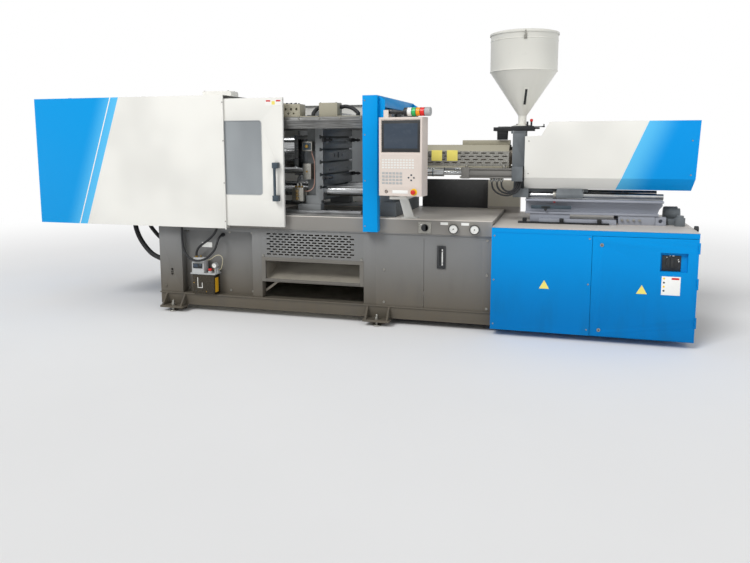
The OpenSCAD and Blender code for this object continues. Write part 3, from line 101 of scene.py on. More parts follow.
class Val:
    """One output socket of a node tree, with the arithmetic that the finishes use."""

    def __init__(self, graph: "Graph", socket: bpy.types.NodeSocket) -> None:
        """Keeps the tree and the socket that the value comes out of."""
        self.graph = graph
        self.socket = socket

    def _math(self, operation: str, *parts: "Val | float") -> "Val":
        """Adds one Math node on the given parts."""
        inputs = dict(enumerate(parts))
        return self.graph.node("ShaderNodeMath", {"operation": operation}, inputs)

    def __add__(self, other: "Val | float") -> "Val":
        """Adds a value or a number."""
        return self._math("ADD", self, other)

    __radd__ = __add__

    def __sub__(self, other: "Val | float") -> "Val":
        """Takes a value or a number away."""
        return self._math("SUBTRACT", self, other)

    def __rsub__(self, other: float) -> "Val":
        """Takes this value away from a number."""
        return self._math("SUBTRACT", other, self)

    def __mul__(self, other: "Val | float") -> "Val":
        """Multiplies by a value or a number."""
        return self._math("MULTIPLY", self, other)

    __rmul__ = __mul__

    def __truediv__(self, other: "Val | float") -> "Val":
        """Divides by a value or a number."""
        return self._math("DIVIDE", self, other)

    def absolute(self) -> "Val":
        """Gives the value without its sign."""
        return self._math("ABSOLUTE", self)

    def above(self, limit: "Val | float") -> "Val":
        """Gives 1 where the value is over the limit and 0 elsewhere."""
        return self._math("GREATER_THAN", self, limit)

    def ramp(self, low: float, high: float) -> "Val":
        """Gives 0 below low, 1 above high and a smooth step between them."""
        inputs = {"Value": self, "From Min": low, "From Max": high}
        return self.graph.node("ShaderNodeMapRange", {"interpolation_type": "SMOOTHSTEP"}, inputs)


class Graph:
    """A node tree of any kind, filled through one method."""

    def __init__(self, tree: bpy.types.NodeTree) -> None:
        """Keeps the tree that nodes are added to."""
        self.tree = tree

    def node(
        self,
        kind: str,
        settings: dict[str, object] | None = None,
        inputs: dict[int | str, object] | None = None,
        out: int | str = 0,
    ) -> Val:
        """Adds a node, sets it up and feeds it.

        Args:
            kind: Blender's name of the node type.
            settings: Properties set before the inputs; "stops" fills a colour ramp.
            inputs: Values or links for the sockets, by name or number.
            out: The output that is wanted.

        Returns:
            The chosen output as a value.
        """
        made = self.tree.nodes.new(kind)
        for key, value in (settings or {}).items():
            if key == "stops":
                ends = made.color_ramp.elements
                while len(ends) < len(value):
                    ends.new(0.5)
                for end, (where, colour) in zip(ends, value):
                    end.position = where
                    end.color = colour
            else:
                setattr(made, key, value)
        for key, value in (inputs or {}).items():
            if isinstance(value, Val):
                self.tree.links.new(value.socket, made.inputs[key])
            else:
                made.inputs[key].default_value = value
        return Val(self, made.outputs[out])


class Look(Graph):
    """One material under way: its tree, its surface shader and the patterns that feed it."""

    def __init__(self, name: str, **fixed: float) -> None:
        """Starts a material with a surface shader whose fixed sockets are set here."""
        self.material = bpy.data.materials.new(name)
        self.material.use_nodes = True
        super().__init__(self.material.node_tree)
        self.surface = self.tree.nodes["Principled BSDF"]
        for key, value in fixed.items():
            self.surface.inputs[key.replace("_", " ")].default_value = value
        self.spot = self.node("ShaderNodeTexCoord", out="Object")

    def axis(self, which: Axis) -> Val:
        """Gives one coordinate of the shaded point, in metres of the frame."""
        return self.node("ShaderNodeSeparateXYZ", inputs={0: self.spot}, out=which.value)

    def stretched(self, scale: Triple) -> Val:
        """Gives the shaded point with its axes scaled, for brushed and streaked patterns."""
        return self.node("ShaderNodeMapping", inputs={"Vector": self.spot, "Scale": scale})

    def noise(self, scale: float, detail: float = 3.0, where: Val | None = None) -> Val:
        """Gives cloudy noise from 0 to 1 with the given number of patches in a metre."""
        inputs = {"Vector": where or self.spot, "Scale": scale, "Detail": detail}
        return self.node("ShaderNodeTexNoise", inputs=inputs)

    def mix(self, share: Val | float, first: object, second: object) -> Val:
        """Gives a colour between two colours."""
        inputs = {0: share, 6: first, 7: second}
        return self.node("ShaderNodeMix", {"data_type": "RGBA"}, inputs, out=2)

    def bump(self, height: Val, depth: float, strength: float = 0.5) -> None:
        """Feeds the shader's normal from a height pattern that is depth metres deep."""
        inputs = {"Height": height, "Distance": depth, "Strength": strength}
        self.feed("Normal", self.node("ShaderNodeBump", inputs=inputs))

    def feed(self, socket: str, value: Val) -> None:
        """Links a pattern to a socket of the surface shader."""
        self.tree.links.new(value.socket, self.surface.inputs[socket])


@dataclass(frozen=True)
class Paint:
    """A sprayed and baked paint on sheet steel, with orange peel, dust and foot scuffs."""

    name: str
    colour: Triple
    rough: float = 0.38
    peel: float = 260.0
    grime: float = 0.22
    drift: float = 0.03
    sheen: float = 0.22

    def ground(self, look: Look) -> Val:
        """Gives the clean colour; a two tone paint gives its own here."""
        shade = look.noise(1.3, 2.0).ramp(0.3, 0.7)
        dark = tuple(c * (1.0 - 2.0 * self.drift) for c in self.colour)
        return look.mix(shade, linear(dark), linear(self.colour))

    def build(self) -> bpy.types.Material:
        """Makes the material.

        Returns:
            The finished paint.
        """
        look = Look(self.name, IOR=1.5, Specular_IOR_Level=self.sheen)
        base = self.ground(look)
        low = 1.0 - look.axis(Axis.Z).ramp(0.05, 0.75)
        streak = look.noise(9.0, 4.0, look.stretched((1.0, 1.0, 0.25))).ramp(0.42, 0.75)
        fleck = look.noise(120.0, 2.0).ramp(0.66, 0.74)
        dust = (low * streak + fleck * 0.12) * self.grime
        soiled = tuple(c * 0.45 + 20.0 for c in self.colour)
        look.feed("Base Color", look.mix(dust, base, linear(soiled)))
        look.feed("Roughness", look.noise(14.0, 3.0) * 0.14 + (self.rough - 0.07) + dust * 0.4)
        look.bump(look.noise(self.peel, 2.0), 0.0006, 0.18)
        return look.material


@dataclass(frozen=True)
class SlantPaint(Paint):
    """Cream paint with a blue end behind a slanted line, as on both sheet hoods."""

    sheen: float = 0.12
    blue: Triple = (0.0, 152.0, 224.0)
    pale: Triple = (90.0, 190.0, 240.0)
    top: Pair = (0.0, 1.0)
    foot: Pair = (0.0, 0.0)
    side: float = -1.0
    band: float = 0.28
    cream_line: bool = True
    low_z: float = 0.0
    low_colour: Triple = (150.0, 150.0, 145.0)

    def ground(self, look: Look) -> Val:
        """Gives cream on one side of the slanted line and graded blue on the other."""
        slope = (self.top[0] - self.foot[0]) / (self.top[1] - self.foot[1])
        x = look.axis(Axis.X)
        z = look.axis(Axis.Z)
        past = (x - ((z - self.foot[1]) * slope + self.foot[0])) * self.side
        cream = super().ground(look)
        shelf = z.ramp(self.low_z - 0.03, self.low_z + 0.03)
        cream = look.mix(shelf, linear(self.low_colour), cream)
        fade = past.ramp(0.0, self.band)
        blue = look.mix(fade, linear(self.pale), linear(self.blue))
        both = look.mix(past.above(0.0), cream, blue)
        if not self.cream_line:
            return both
        line = (past - self.band * 0.33).absolute().above(0.006)
        return look.mix(line, linear(self.colour), both)


@dataclass(frozen=True)
class GradedPaint(Paint):
    """A paint that darkens towards the floor with painted shade, as on the cabinet's blue and the
    base's grey.
    """

    # deep is the painted shade colour at the floor.
    deep: Triple = (0.0, 108.0, 186.0)
    low: float = 0.1
    high: float = 0.95

    def ground(self, look: Look) -> Val:
        """Gives the deep colour, painted shade, low down and the full one at the top."""
        unshaded_share = look.axis(Axis.Z).ramp(self.low, self.high) * 0.9 + look.noise(2.0, 2.0) * 0.1
        return look.mix(unshaded_share, linear(self.deep), linear(self.colour))


@dataclass(frozen=True)
class ChutePaint(Paint):
    """Chute paint with the base's grey on its front rim and a paler one behind it, painted light that
    lifts the shade inside the chute.
    """

    # floor is painted light: the paler grey of the shaded sheets behind the rim.
    floor: Triple = (160.0, 154.0, 142.0)

    def ground(self, look: Look) -> Val:
        """Gives the rim its grey and the shaded sheets behind it the pale colour, which is painted
        light.
        """
        behind = look.axis(Axis.Y).above(-0.549)
        return look.mix(behind, super().ground(look), linear(self.floor))


@dataclass(frozen=True)
class DeckPaint(Paint):
    """Table paint that is paler on the top, on the right-hand deck and on the wall above it; the paler
    colours are painted light that lifts the shade on these faces.
    """

    # deck, top and wall are lit copies of the table paint: painted light.
    deck: Triple = (200.0, 194.0, 187.0)
    top: Triple = (212.0, 206.0, 197.0)
    wall: Triple = (236.0, 230.0, 214.0)

    def ground(self, look: Look) -> Val:
        """Gives the apron its own colour, and the pale ones above it and past the step, which are
        painted light.
        """
        table = look.mix(look.axis(Axis.Z).above(0.988), super().ground(look), linear(self.top))
        flat = look.mix(look.axis(Axis.X).ramp(1.44, 1.6), table, linear(self.deck))
        return look.mix(look.axis(Axis.Z).above(1.02), flat, linear(self.wall))


@dataclass(frozen=True)
class Metal:
    """Bare or plated metal, brushed or turned along one axis, with wiped oil."""

    name: str
    colour: Triple
    rough: float = 0.28
    grain: Triple = (6.0, 400.0, 400.0)
    metallic: float = 1.0
    oil: float = 0.25

    def build(self) -> bpy.types.Material:
        """Makes the material.

        Returns:
            The finished metal.
        """
        look = Look(self.name, Metallic=self.metallic)
        marks = look.noise(1.0, 3.0, look.stretched(self.grain))
        film = look.noise(7.0, 4.0).ramp(0.45, 0.7)
        dull = tuple(c * 0.62 for c in self.colour)
        tone = look.mix(marks.ramp(0.3, 0.7), linear(dull), linear(self.colour))
        look.feed("Base Color", look.mix(film * self.oil, tone, linear((70, 66, 58))))
        look.feed("Roughness", marks * 0.16 + (self.rough - 0.08) + film * 0.1)
        look.bump(marks, 0.0002, 0.25)
        return look.material


@dataclass(frozen=True)
class Casting:
    """A painted iron casting with machined faces across the machine's length."""

    name: str
    colour: Triple
    faces: tuple[float, ...] = ()
    rough: float = 0.5

    def build(self) -> bpy.types.Material:
        """Makes the material.

        Returns:
            The finished casting, bright where x is within 2 mm of a face.
        """
        look = Look(self.name)
        x = look.axis(Axis.X)
        skin = look.noise(90.0, 4.0)
        stain = look.noise(5.0, 4.0).ramp(0.4, 0.75)
        dark = tuple(c * 0.6 for c in self.colour)
        paint = look.mix(stain * 0.6, linear(self.colour), linear(dark))
        bright: Val | float = 0.0
        for face in self.faces:
            bright = 1.0 - (x - face * MM).absolute().above(0.002) + bright
        cut = look.noise(1.0, 2.0, look.stretched((1.0, 30.0, 700.0)))
        steel = look.mix(cut.ramp(0.35, 0.65), linear((132, 134, 136)), linear((176, 178, 180)))
        look.feed("Base Color", look.mix(bright, paint, steel))
        if self.faces:
            look.feed("Metallic", bright * 0.9)
        look.feed("Roughness", skin * 0.2 + (self.rough - 0.1) - 0.18 * bright)
        look.bump(skin, 0.0012, 0.3)
        return look.material


@dataclass(frozen=True)
class Moulded:
    """A moulded plastic or rubber with fine spark texture and handling marks."""

    name: str
    colour: Triple
    rough: float = 0.5
    texture: float = 900.0
    glow: float = 0.0
    clear: float = 0.0

    def build(self) -> bpy.types.Material:
        """Makes the material.

        Returns:
            The finished plastic.
        """
        look = Look(self.name, IOR=1.48)
        wear = look.noise(24.0, 4.0).ramp(0.5, 0.72)
        pale = tuple(min(255.0, c * 0.86 + 24.0) for c in self.colour)
        tone = look.mix(wear * 0.35, linear(self.colour), linear(pale))
        look.feed("Base Color", tone)
        look.feed("Roughness", look.noise(40.0, 2.0) * 0.16 + (self.rough - 0.08))
        look.bump(look.noise(self.texture, 2.0), 0.0003, 0.3)
        if self.glow:
            look.surface.inputs["Emission Strength"].default_value = self.glow
            look.feed("Emission Color", tone)
        if self.clear:
            look.feed("Alpha", 1.0 - self.clear + wear * 0.05)
        return look.material


@dataclass(frozen=True)
class Pane:
    """A clear safety pane, faintly tinted and scuffed, that shows what is behind it."""

    name: str
    colour: Triple
    cover: float = 0.55
    streaks: float = 0.1

    def build(self) -> bpy.types.Material:
        """Makes the material.

        Returns:
            The finished pane.
        """
        look = Look(self.name, IOR=1.5)
        haze = look.noise(1.6, 3.0, look.stretched((1.0, 1.0, 0.4)))
        pale = tuple(min(255.0, c * 1.12) for c in self.colour)
        look.feed("Base Color", look.mix(haze.ramp(0.3, 0.7), linear(self.colour), linear(pale)))
        look.feed("Roughness", look.noise(30.0, 4.0) * 0.12 + 0.08)
        look.feed("Alpha", haze * self.streaks + self.cover)
        return look.material


class Finishes:
    """Every finish of the machine, made once and fetched by name."""

    RECIPES = (
        # The base's deep grey is painted shade towards the floor.
        GradedPaint(
            "base_grey_paint", (127, 128, 128), grime=0.3, deep=(93, 86, 74), low=0.08, high=0.78,
        ),
        # The chute's paler grey behind its rim is painted light.
        ChutePaint("chute_grey_paint", (116, 113, 107), grime=0.3),
        # The table paint's paler top, deck and wall are painted light.
        DeckPaint("table_grey_paint", (146, 143, 138), rough=0.45, grime=0.3),
        Paint("cylinder_grey_paint", (124, 122, 118), rough=0.4),
        # Painted light: a pale grey that lifts the shade on the sheets inside the base.
        Paint("floor_sheet_lit_paint", (214, 208, 194), rough=0.5, grime=0.3),
        Paint("cream_paint", (238, 237, 231)),
        Paint("cover_blue_paint", (0, 156, 232), sheen=0.1),
        Paint("panel_greige_paint", (226, 214, 205), rough=0.45),
        Paint("guard_beige_paint", (172, 167, 148), rough=0.42),
        Paint("arm_cream_paint", (225, 224, 218)),
        Paint("hopper_cream_paint", (228, 227, 219), rough=0.3),
        Paint("cooler_blue_paint", (50, 102, 158), rough=0.35),
        Paint("motor_grey_paint", (112, 118, 122), rough=0.45),
        Paint("beam_grey_paint", (158, 162, 172), rough=0.4),
        SlantPaint(
            "clamp_hood_paint",
            (239, 238, 232),
            top=(-2.174, 2.138),
            foot=(-2.613, 0.856),
            side=-1.0,
        ),
        SlantPaint(
            "injection_hood_paint",
            (236, 235, 229),
            top=(2.772, 1.855),
            foot=(2.529, 1.27),
            side=1.0,
            blue=(0, 148, 226),
            cream_line=False,
            low_z=1.36,
            low_colour=(232, 232, 228),
        ),
        # The cabinet's deep blue is painted shade towards the floor.
        GradedPaint("cabinet_blue_paint", (0, 146, 222), rough=0.33, sheen=0.1, deep=(0, 112, 180)),
        Metal("rail_aluminium", (150, 150, 148), rough=0.42, oil=0.15, metallic=0.7),
        Metal("polished_steel", (205, 207, 208), rough=0.2),
        Metal("ground_steel", (176, 178, 180), rough=0.32, oil=0.4),
        Metal("black_steel", (58, 60, 62), rough=0.42, metallic=0.8, oil=0.1),
        Metal("zinc_steel", (188, 186, 178), rough=0.34, grain=(300.0, 300.0, 300.0), oil=0.1),
        Metal("brass", (196, 158, 84), rough=0.3, grain=(300.0, 300.0, 300.0), oil=0.1),
        Metal("band_steel", (150, 142, 130), rough=0.4, grain=(20.0, 300.0, 300.0)),
        Casting("fixed_platen_cast", (104, 110, 114), faces=(320.0,)),
        Casting("moving_platen_cast", (118, 121, 122), faces=(-134.0,)),
        Casting("cylinder_platen_cast", (104, 108, 112), faces=(-1520.0, -1760.0)),
        Casting("feed_cast", (106, 112, 116), faces=(1622.0, 2260.0)),
        Moulded("black_plastic", (34, 36, 38)),
        Moulded("slate_plastic", (56, 70, 80), rough=0.42),
        Moulded("dark_sheet", (62, 62, 62), rough=0.55, texture=300.0),
        Moulded("red_plastic", (206, 34, 30), rough=0.3),
        Moulded("yellow_plastic", (246, 200, 20), rough=0.4),
        Moulded("amber_field", (232, 176, 32), rough=0.4),
        Moulded("white_plastic", (232, 232, 228), rough=0.4),
        Moulded("grey_key_plastic", (176, 178, 178), rough=0.5),
        Moulded("lamp_white", (240, 240, 236), rough=0.25, glow=0.06),
        Moulded("lamp_green", (40, 178, 92), rough=0.22, glow=0.12),
        Moulded("lamp_orange", (244, 150, 30), rough=0.22, glow=0.12),
        Moulded("lamp_red", (222, 40, 36), rough=0.22, glow=0.12),
        Moulded("hose_rubber", (30, 31, 33), rough=0.62, texture=500.0),
        Moulded("pale_yellow_field", (238, 222, 112), rough=0.4, texture=600.0),
        Moulded("cable_brown_sheath", (176, 138, 124), rough=0.4, texture=500.0),
        Moulded("thin_tube_nylon", (212, 204, 172), rough=0.35, texture=500.0),
        Moulded("amber_tank_plastic", (56, 49, 36), rough=0.25, clear=0.22),
        Moulded("screen_glass", (52, 64, 78), rough=0.14),
        Moulded("pale_field", (240, 240, 236), rough=0.35),
        Pane("gate_window_pane", (150, 155, 158), cover=0.72),
    )

    def __init__(self) -> None:
        """Builds all the materials."""
        self.made = {recipe.name: recipe.build() for recipe in self.RECIPES}

    def __getitem__(self, name: str) -> bpy.types.Material:
        """Fetches a finish by its name."""
        return self.made[name]


FINISH = Finishes()


def smooth_by_angle(mesh: bpy.types.Mesh, limit: float = 35.0) -> None:
    """Shades a mesh smooth, with sharp edges where it turns by more than limit degrees."""
    work = bmesh.new()
    work.from_mesh(mesh)
    for face in work.faces:
        face.smooth = True
    for edge in work.edges:
        edge.smooth = edge.calc_face_angle(math.pi) < math.radians(limit)
    work.to_mesh(mesh)
    work.free()


def settle(
    thing: bpy.types.Object, body: str, materials: Sequence[str], names: Sequence[str] = ()
) -> bpy.types.Object:
    """Gives a finished object its materials, its body and the CAD nodes that it stands for.

    Args:
        thing: The object, at the origin with its place in its mesh.
        body: The CAD body that it moves with.
        materials: Finishes for its slots in turn; none where the slots are filled.
        names: The CAD nodes that it replaces.

    Returns:
        The same object.
    """
    for name in materials:
        thing.data.materials.append(FINISH[name])
    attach(thing, body)
    if names:
        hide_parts(*names)
    LOG.info("made %s on %s", thing.name, body)
    return thing


def plain_mesh(thing: bpy.types.Object) -> bpy.types.Mesh:
    """Works out an object's modifiers into a new plain mesh and removes the object."""
    graph = bpy.context.evaluated_depsgraph_get()
    mesh = bpy.data.meshes.new_from_object(thing.evaluated_get(graph), depsgraph=graph)
    bpy.data.objects.remove(thing)
    return mesh


def stand(name: str, mesh: bpy.types.Mesh) -> bpy.types.Object:
    """Puts a mesh into the scene as an object at the origin."""
    mesh.name = name
    thing = bpy.data.objects.new(name, mesh)
    bpy.context.scene.collection.objects.link(thing)
    return thing


def bevelled(mesh: bpy.types.Mesh, width: float, turns: int = 2) -> bpy.types.Mesh:
    """Rounds a mesh's sharp edges.

    Args:
        mesh: The mesh, in metres.
        width: The edge's size in millimetres.
        turns: The faces across each edge.

    Returns:
        A new mesh.
    """
    work = stand("forming", mesh)
    form = work.modifiers.new("edge", "BEVEL")
    form.width = width * MM
    form.segments = turns
    form.limit_method = "ANGLE"
    form.angle_limit = math.radians(32.0)
    form.use_clamp_overlap = True
    bpy.context.view_layer.update()
    return plain_mesh(work)


class Solid:
    """Closed forms gathered into one mesh, written in the machine's millimetres."""

    def __init__(self, place: Matrix | None = None) -> None:
        """Starts an empty mesh; place turns and moves what is added, in millimetres."""
        self.mesh = bmesh.new()
        self.place = place or Matrix.Identity(4)
        self.slot = 0

    def paint(self, slot: int) -> "Solid":
        """Gives what is added next the material slot with this number."""
        self.slot = slot
        return self

    def shell(self, points: Sequence[Triple], faces: Sequence[Sequence[int]]) -> "Solid":
        """Adds one closed form from its corners and faces."""
        made = [self.mesh.verts.new(self.place @ Vector(p)) for p in points]
        for face in faces:
            self.mesh.faces.new([made[i] for i in face]).material_index = self.slot
        return self

    def box(self, low: Triple, high: Triple) -> "Solid":
        """Adds a block between two corners."""
        xs, ys, zs = zip(low, high)
        points = [(x, y, z) for x in xs for y in ys for z in zs]
        faces = ((0, 1, 3, 2), (4, 6, 7, 5), (0, 4, 5, 1), (2, 3, 7, 6), (0, 2, 6, 4), (1, 5, 7, 3))
        return self.shell(points, faces)

    def prism(self, outline: Sequence[Pair], axis: Axis, start: float, stop: float) -> "Solid":
        """Adds an outline drawn out along an axis.

        Args:
            outline: Corners in the two other axes, in their own order.
            axis: The direction of the prism.
            start: Where it begins on that axis.
            stop: Where it ends.

        Returns:
            This builder.
        """
        points = []
        for level in (start, stop):
            for pair in outline:
                spot = list(pair)
                spot.insert(axis.value, level)
                points.append(tuple(spot))
        n = len(outline)
        faces = [list(range(n)), list(range(n, 2 * n))]
        faces += [[i, (i + 1) % n, n + (i + 1) % n, n + i] for i in range(n)]
        return self.shell(points, faces)

    def turned(
        self, profile: Sequence[Pair], axis: Axis, centre: Triple, sides: int = 32
    ) -> "Solid":
        """Adds a turned form.

        Args:
            profile: Pairs of radius and distance along the axis; it closes on the axis where
                its ends have no radius, and as a ring elsewhere.
            axis: The axis that it turns about.
            centre: A point on that axis, where the distance is 0.
            sides: The faces round it.

        Returns:
            This builder.
        """
        points: list[Triple] = []
        rows: list[list[int]] = []
        across = [a for a in range(3) if a != axis.value]
        for radius, along in profile:
            row = []
            for k in range(sides if radius > 0 else 1):
                angle = 2.0 * math.pi * k / sides
                spot = list(centre)
                spot[axis.value] += along
                spot[across[0]] += radius * math.cos(angle)
                spot[across[1]] += radius * math.sin(angle)
                row.append(len(points))
                points.append(tuple(spot))
            rows.append(row)
        ring = profile[0][0] > 0
        pairs = list(zip(rows, rows[1:] + ([rows[0]] if ring else [])))
        faces = []
        for first, second in pairs:
            for k in range(sides):
                m = (k + 1) % sides
                loop = [first[k % len(first)], first[m % len(first)]]
                loop += [second[m % len(second)], second[k % len(second)]]
                loop = [p for i, p in enumerate(loop) if p not in loop[:i]]
                if len(loop) > 2:
                    faces.append(loop)
        return self.shell(points, faces)

    def rod(self, axis: Axis, centre: Triple, length: float, radius: float, sides: int = 24) -> "Solid":
        """Adds a round bar from centre along an axis, with its ends eased."""
        ease = min(radius * 0.12, abs(length) * 0.2)
        step = math.copysign(ease, length)
        profile = [(0, 0), (radius - ease, 0), (radius, step), (radius, length - step)]
        return self.turned(profile + [(radius - ease, length), (0, length)], axis, centre, sides)

    def tube(
        self, axis: Axis, centre: Triple, length: float, outer: float, inner: float, sides: int = 32
    ) -> "Solid":
        """Adds a round ring or tube."""
        profile = [(outer, 0), (outer, length), (inner, length), (inner, 0)]
        return self.turned(profile, axis, centre, sides)

    def gathered(self, name: str) -> bpy.types.Mesh:
        """Turns what was gathered into one mesh in metres of the frame, with its faces outwards."""
        bmesh.ops.recalc_face_normals(self.mesh, faces=self.mesh.faces)
        for corner in self.mesh.verts:
            corner.co = metres(corner.co)
        mesh = bpy.data.meshes.new(name)
        self.mesh.to_mesh(mesh)
        self.mesh.free()
        return mesh

    def make(
        self, name: str, body: str, materials: Sequence[str], bevel: float = 0.0,
        names: Sequence[str] = (),
    ) -> bpy.types.Object:
        """Turns what was gathered into a finished piece of the scene.

        Args:
            name: The piece's name.
            body: The CAD body that it moves with.
            materials: Finishes for the slots in turn.
            bevel: The size of the rounded edges in millimetres.
            names: CAD nodes that the piece stands for.

        Returns:
            The piece.
        """
        mesh = self.gathered(name)
        if bevel:
            mesh = bevelled(mesh, bevel)
        smooth_by_angle(mesh)
        return settle(stand(name, mesh), body, materials, names)


def around(middle: Pair, radius: float, count: int, start: float = 0.0) -> list[Pair]:
    """Gives points evenly spaced on a circle.

    Args:
        middle: The circle's middle, in the two axes of its plane.
        radius: Its radius.
        count: How many points it gets.
        start: The first point's angle in radians.

    Returns:
        The points in turn.
    """
    angles = [start + 2.0 * math.pi * k / count for k in range(count)]
    return [(middle[0] + radius * math.cos(a), middle[1] + radius * math.sin(a)) for a in angles]


def louvre(first: Triple, last: Triple, out: Pair) -> Solid:
    """Makes one pressed louvre, 20 mm high, with a lip 3 mm high at its foot.

    Args:
        first: One end of its lower edge on the sheet, in millimetres.
        last: The other end.
        out: How far the lip stands out, in x and y.

    Returns:
        The louvre, not yet made.
    """
    points = []
    for x, y, z in (first, last):
        lip = (x + out[0], y + out[1])
        points += [(x, y, z), (*lip, z), (*lip, z + 3), (x, y, z + 20)]
    sides = [(0, 4, 5, 1), (1, 5, 6, 2), (2, 6, 7, 3), (3, 7, 4, 0)]
    return Solid().shell(points, [(0, 1, 2, 3), (4, 5, 6, 7), *sides])


class Dresser:
    """Puts finishes on the CAD solids, and gives folded sheet its rounded edges."""

    def __init__(self) -> None:
        """Keeps the frame's nodes."""
        self.nodes = frame["nodes"]

    def finish(self, node: str, material: str) -> None:
        """Gives a CAD solid that keeps its shape a finish."""
        thing = self.nodes[node]
        if not thing.material_slots:
            thing.data.materials.append(None)
        for place in thing.material_slots:
            place.material = FINISH[material]

    def form(self, node: str, material: str, bevel: float = 0.0) -> bpy.types.Object:
        """Replaces a CAD solid by a copy with joined faces and rounded edges.

        Args:
            node: The CAD node.
            material: Its finish.
            bevel: The size of the rounded edges in millimetres.

        Returns:
            The new piece.
        """
        work = bmesh.new()
        work.from_mesh(self.nodes[node].data)
        bmesh.ops.remove_doubles(work, verts=work.verts, dist=0.00002)
        bmesh.ops.dissolve_limit(
            work, angle_limit=math.radians(0.4), verts=work.verts, edges=work.edges
        )
        for face in work.faces:
            face.material_index = 0
        mesh = bpy.data.meshes.new(node)
        work.to_mesh(mesh)
        work.free()
        if bevel:
            mesh = bevelled(mesh, bevel)
        smooth_by_angle(mesh)
        mesh.materials.clear()
        body = self.nodes[node]["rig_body"]
        return settle(stand(f"{node}_formed", mesh), body, [material], [node])


class Recipe(Graph):
    """A Geometry Nodes tree with named inputs, worked out into plain meshes."""

    def __init__(self, name: str, sizes: dict[str, object]) -> None:
        """Starts a tree.

        Args:
            name: The tree's name.
            sizes: The named inputs and their values; a number, a whole number or a vector.
        """
        super().__init__(bpy.data.node_groups.new(name, "GeometryNodeTree"))
        face = self.tree.interface
        face.new_socket("Geometry", in_out="INPUT", socket_type="NodeSocketGeometry")
        kinds = {float: "NodeSocketFloat", int: "NodeSocketInt", tuple: "NodeSocketVector"}
        for label, value in sizes.items():
            made = face.new_socket(label, in_out="INPUT", socket_type=kinds[type(value)])
            made.default_value = value
        face.new_socket("Finish", in_out="INPUT", socket_type="NodeSocketMaterial")
        face.new_socket("Geometry", in_out="OUTPUT", socket_type="NodeSocketGeometry")
        self.source = self.tree.nodes.new("NodeGroupInput")
        self.sink = self.tree.nodes.new("NodeGroupOutput")

    def given(self, label: str) -> Val:
        """Gives one of the tree's inputs."""
        return Val(self, self.source.outputs[label])

    def close(self, geometry: Val) -> None:
        """Ends the tree: instances are made real and take the finish."""
        real = self.node("GeometryNodeRealizeInstances", {}, {0: geometry})
        inputs = {"Geometry": real, "Material": self.given("Finish")}
        done = self.node("GeometryNodeSetMaterial", {}, inputs)
        self.tree.links.new(done.socket, self.sink.inputs[0])

    def run(
        self, name: str, seeds: bpy.types.Mesh, body: str, material: str, **sizes: object
    ) -> bpy.types.Object:
        """Works the tree out on a mesh and adds the result as a piece.

        Args:
            name: The piece's name.
            seeds: The mesh that the tree starts from.
            body: The CAD body that the piece moves with.
            material: The finish.
            **sizes: Values for the named inputs.

        Returns:
            The piece.
        """
        work = stand("working", seeds)
        step = work.modifiers.new("recipe", "NODES")
        step.node_group = self.tree
        values = {key.replace("_", " "): value for key, value in sizes.items()}
        values["Finish"] = FINISH[material]
        for item in self.tree.interface.items_tree:
            if item.in_out == "INPUT" and item.name in values:
                step[item.identifier] = values[item.name]
        bpy.context.view_layer.update()
        mesh = plain_mesh(work)
        smooth_by_angle(mesh)
        return settle(stand(name, mesh), body, [])


class ScrewRecipe(Recipe):
    """Cap screws with a socket, one on each seed point, looking along its facing."""

    def __init__(self) -> None:
        """Builds the tree."""
        sizes = {"Head radius": 0.008, "Head height": 0.006, "Socket share": 0.5, "Sides": 12}
        super().__init__("screw_recipe", sizes)
        shape = {"Vertices": self.given("Sides"), "Radius": self.given("Head radius")}
        shape["Depth"] = self.given("Head height") * 2.0
        head = self.node("GeometryNodeMeshCylinder", {"fill_type": "NGON"}, shape)
        top = Val(self, head.socket.node.outputs["Top"])
        flat = {"Mesh": head, "Selection": top, "Offset Scale": 0.0, "Individual": False}
        inset = self.node("GeometryNodeExtrudeMesh", {"mode": "FACES"}, flat)
        top = Val(self, inset.socket.node.outputs["Top"])
        shrink = {"Geometry": inset, "Selection": top, "Scale": self.given("Socket share")}
        small = self.node("GeometryNodeScaleElements", {"domain": "FACE"}, shrink)
        deep = {"Mesh": small, "Selection": top, "Individual": False}
        deep["Offset Scale"] = self.given("Head height") * -0.7
        hole = self.node("GeometryNodeExtrudeMesh", {"mode": "FACES"}, deep)
        name = {"Name": "facing"}
        way = self.node("GeometryNodeInputNamedAttribute", {"data_type": "FLOAT_VECTOR"}, name)
        turn = self.node("FunctionNodeAlignRotationToVector", {"axis": "Z"}, {"Vector": way})
        spread = {"Points": self.given("Geometry"), "Instance": hole, "Rotation": turn}
        self.close(self.node("GeometryNodeInstanceOnPoints", {}, spread))

    def place(
        self, name: str, spots: Iterable[Triple], facing: Facing, body: str,
        material: str = "zinc_steel", place: Matrix | None = None, **sizes: object,
    ) -> bpy.types.Object:
        """Puts screws at points given in the machine's millimetres.

        Args:
            name: The piece's name.
            spots: Where the heads stand.
            facing: The way that they look.
            body: The CAD body that carries them.
            material: Their finish.
            place: A turn and a move of the points, in millimetres.
            **sizes: The tree's named sizes, in metres.

        Returns:
            All the screws as one piece.
        """
        home = place or Matrix.Identity(4)
        seeds = bpy.data.meshes.new("seeds")
        points = [metres(home @ Vector(spot)) for spot in spots]
        seeds.from_pydata(points, [], [])
        mark = seeds.attributes.new("facing", "FLOAT_VECTOR", "POINT")
        way = home.to_3x3() @ Vector(facing.value)
        for entry in mark.data:
            entry.vector = way
        return self.run(name, seeds, body, material, **sizes)


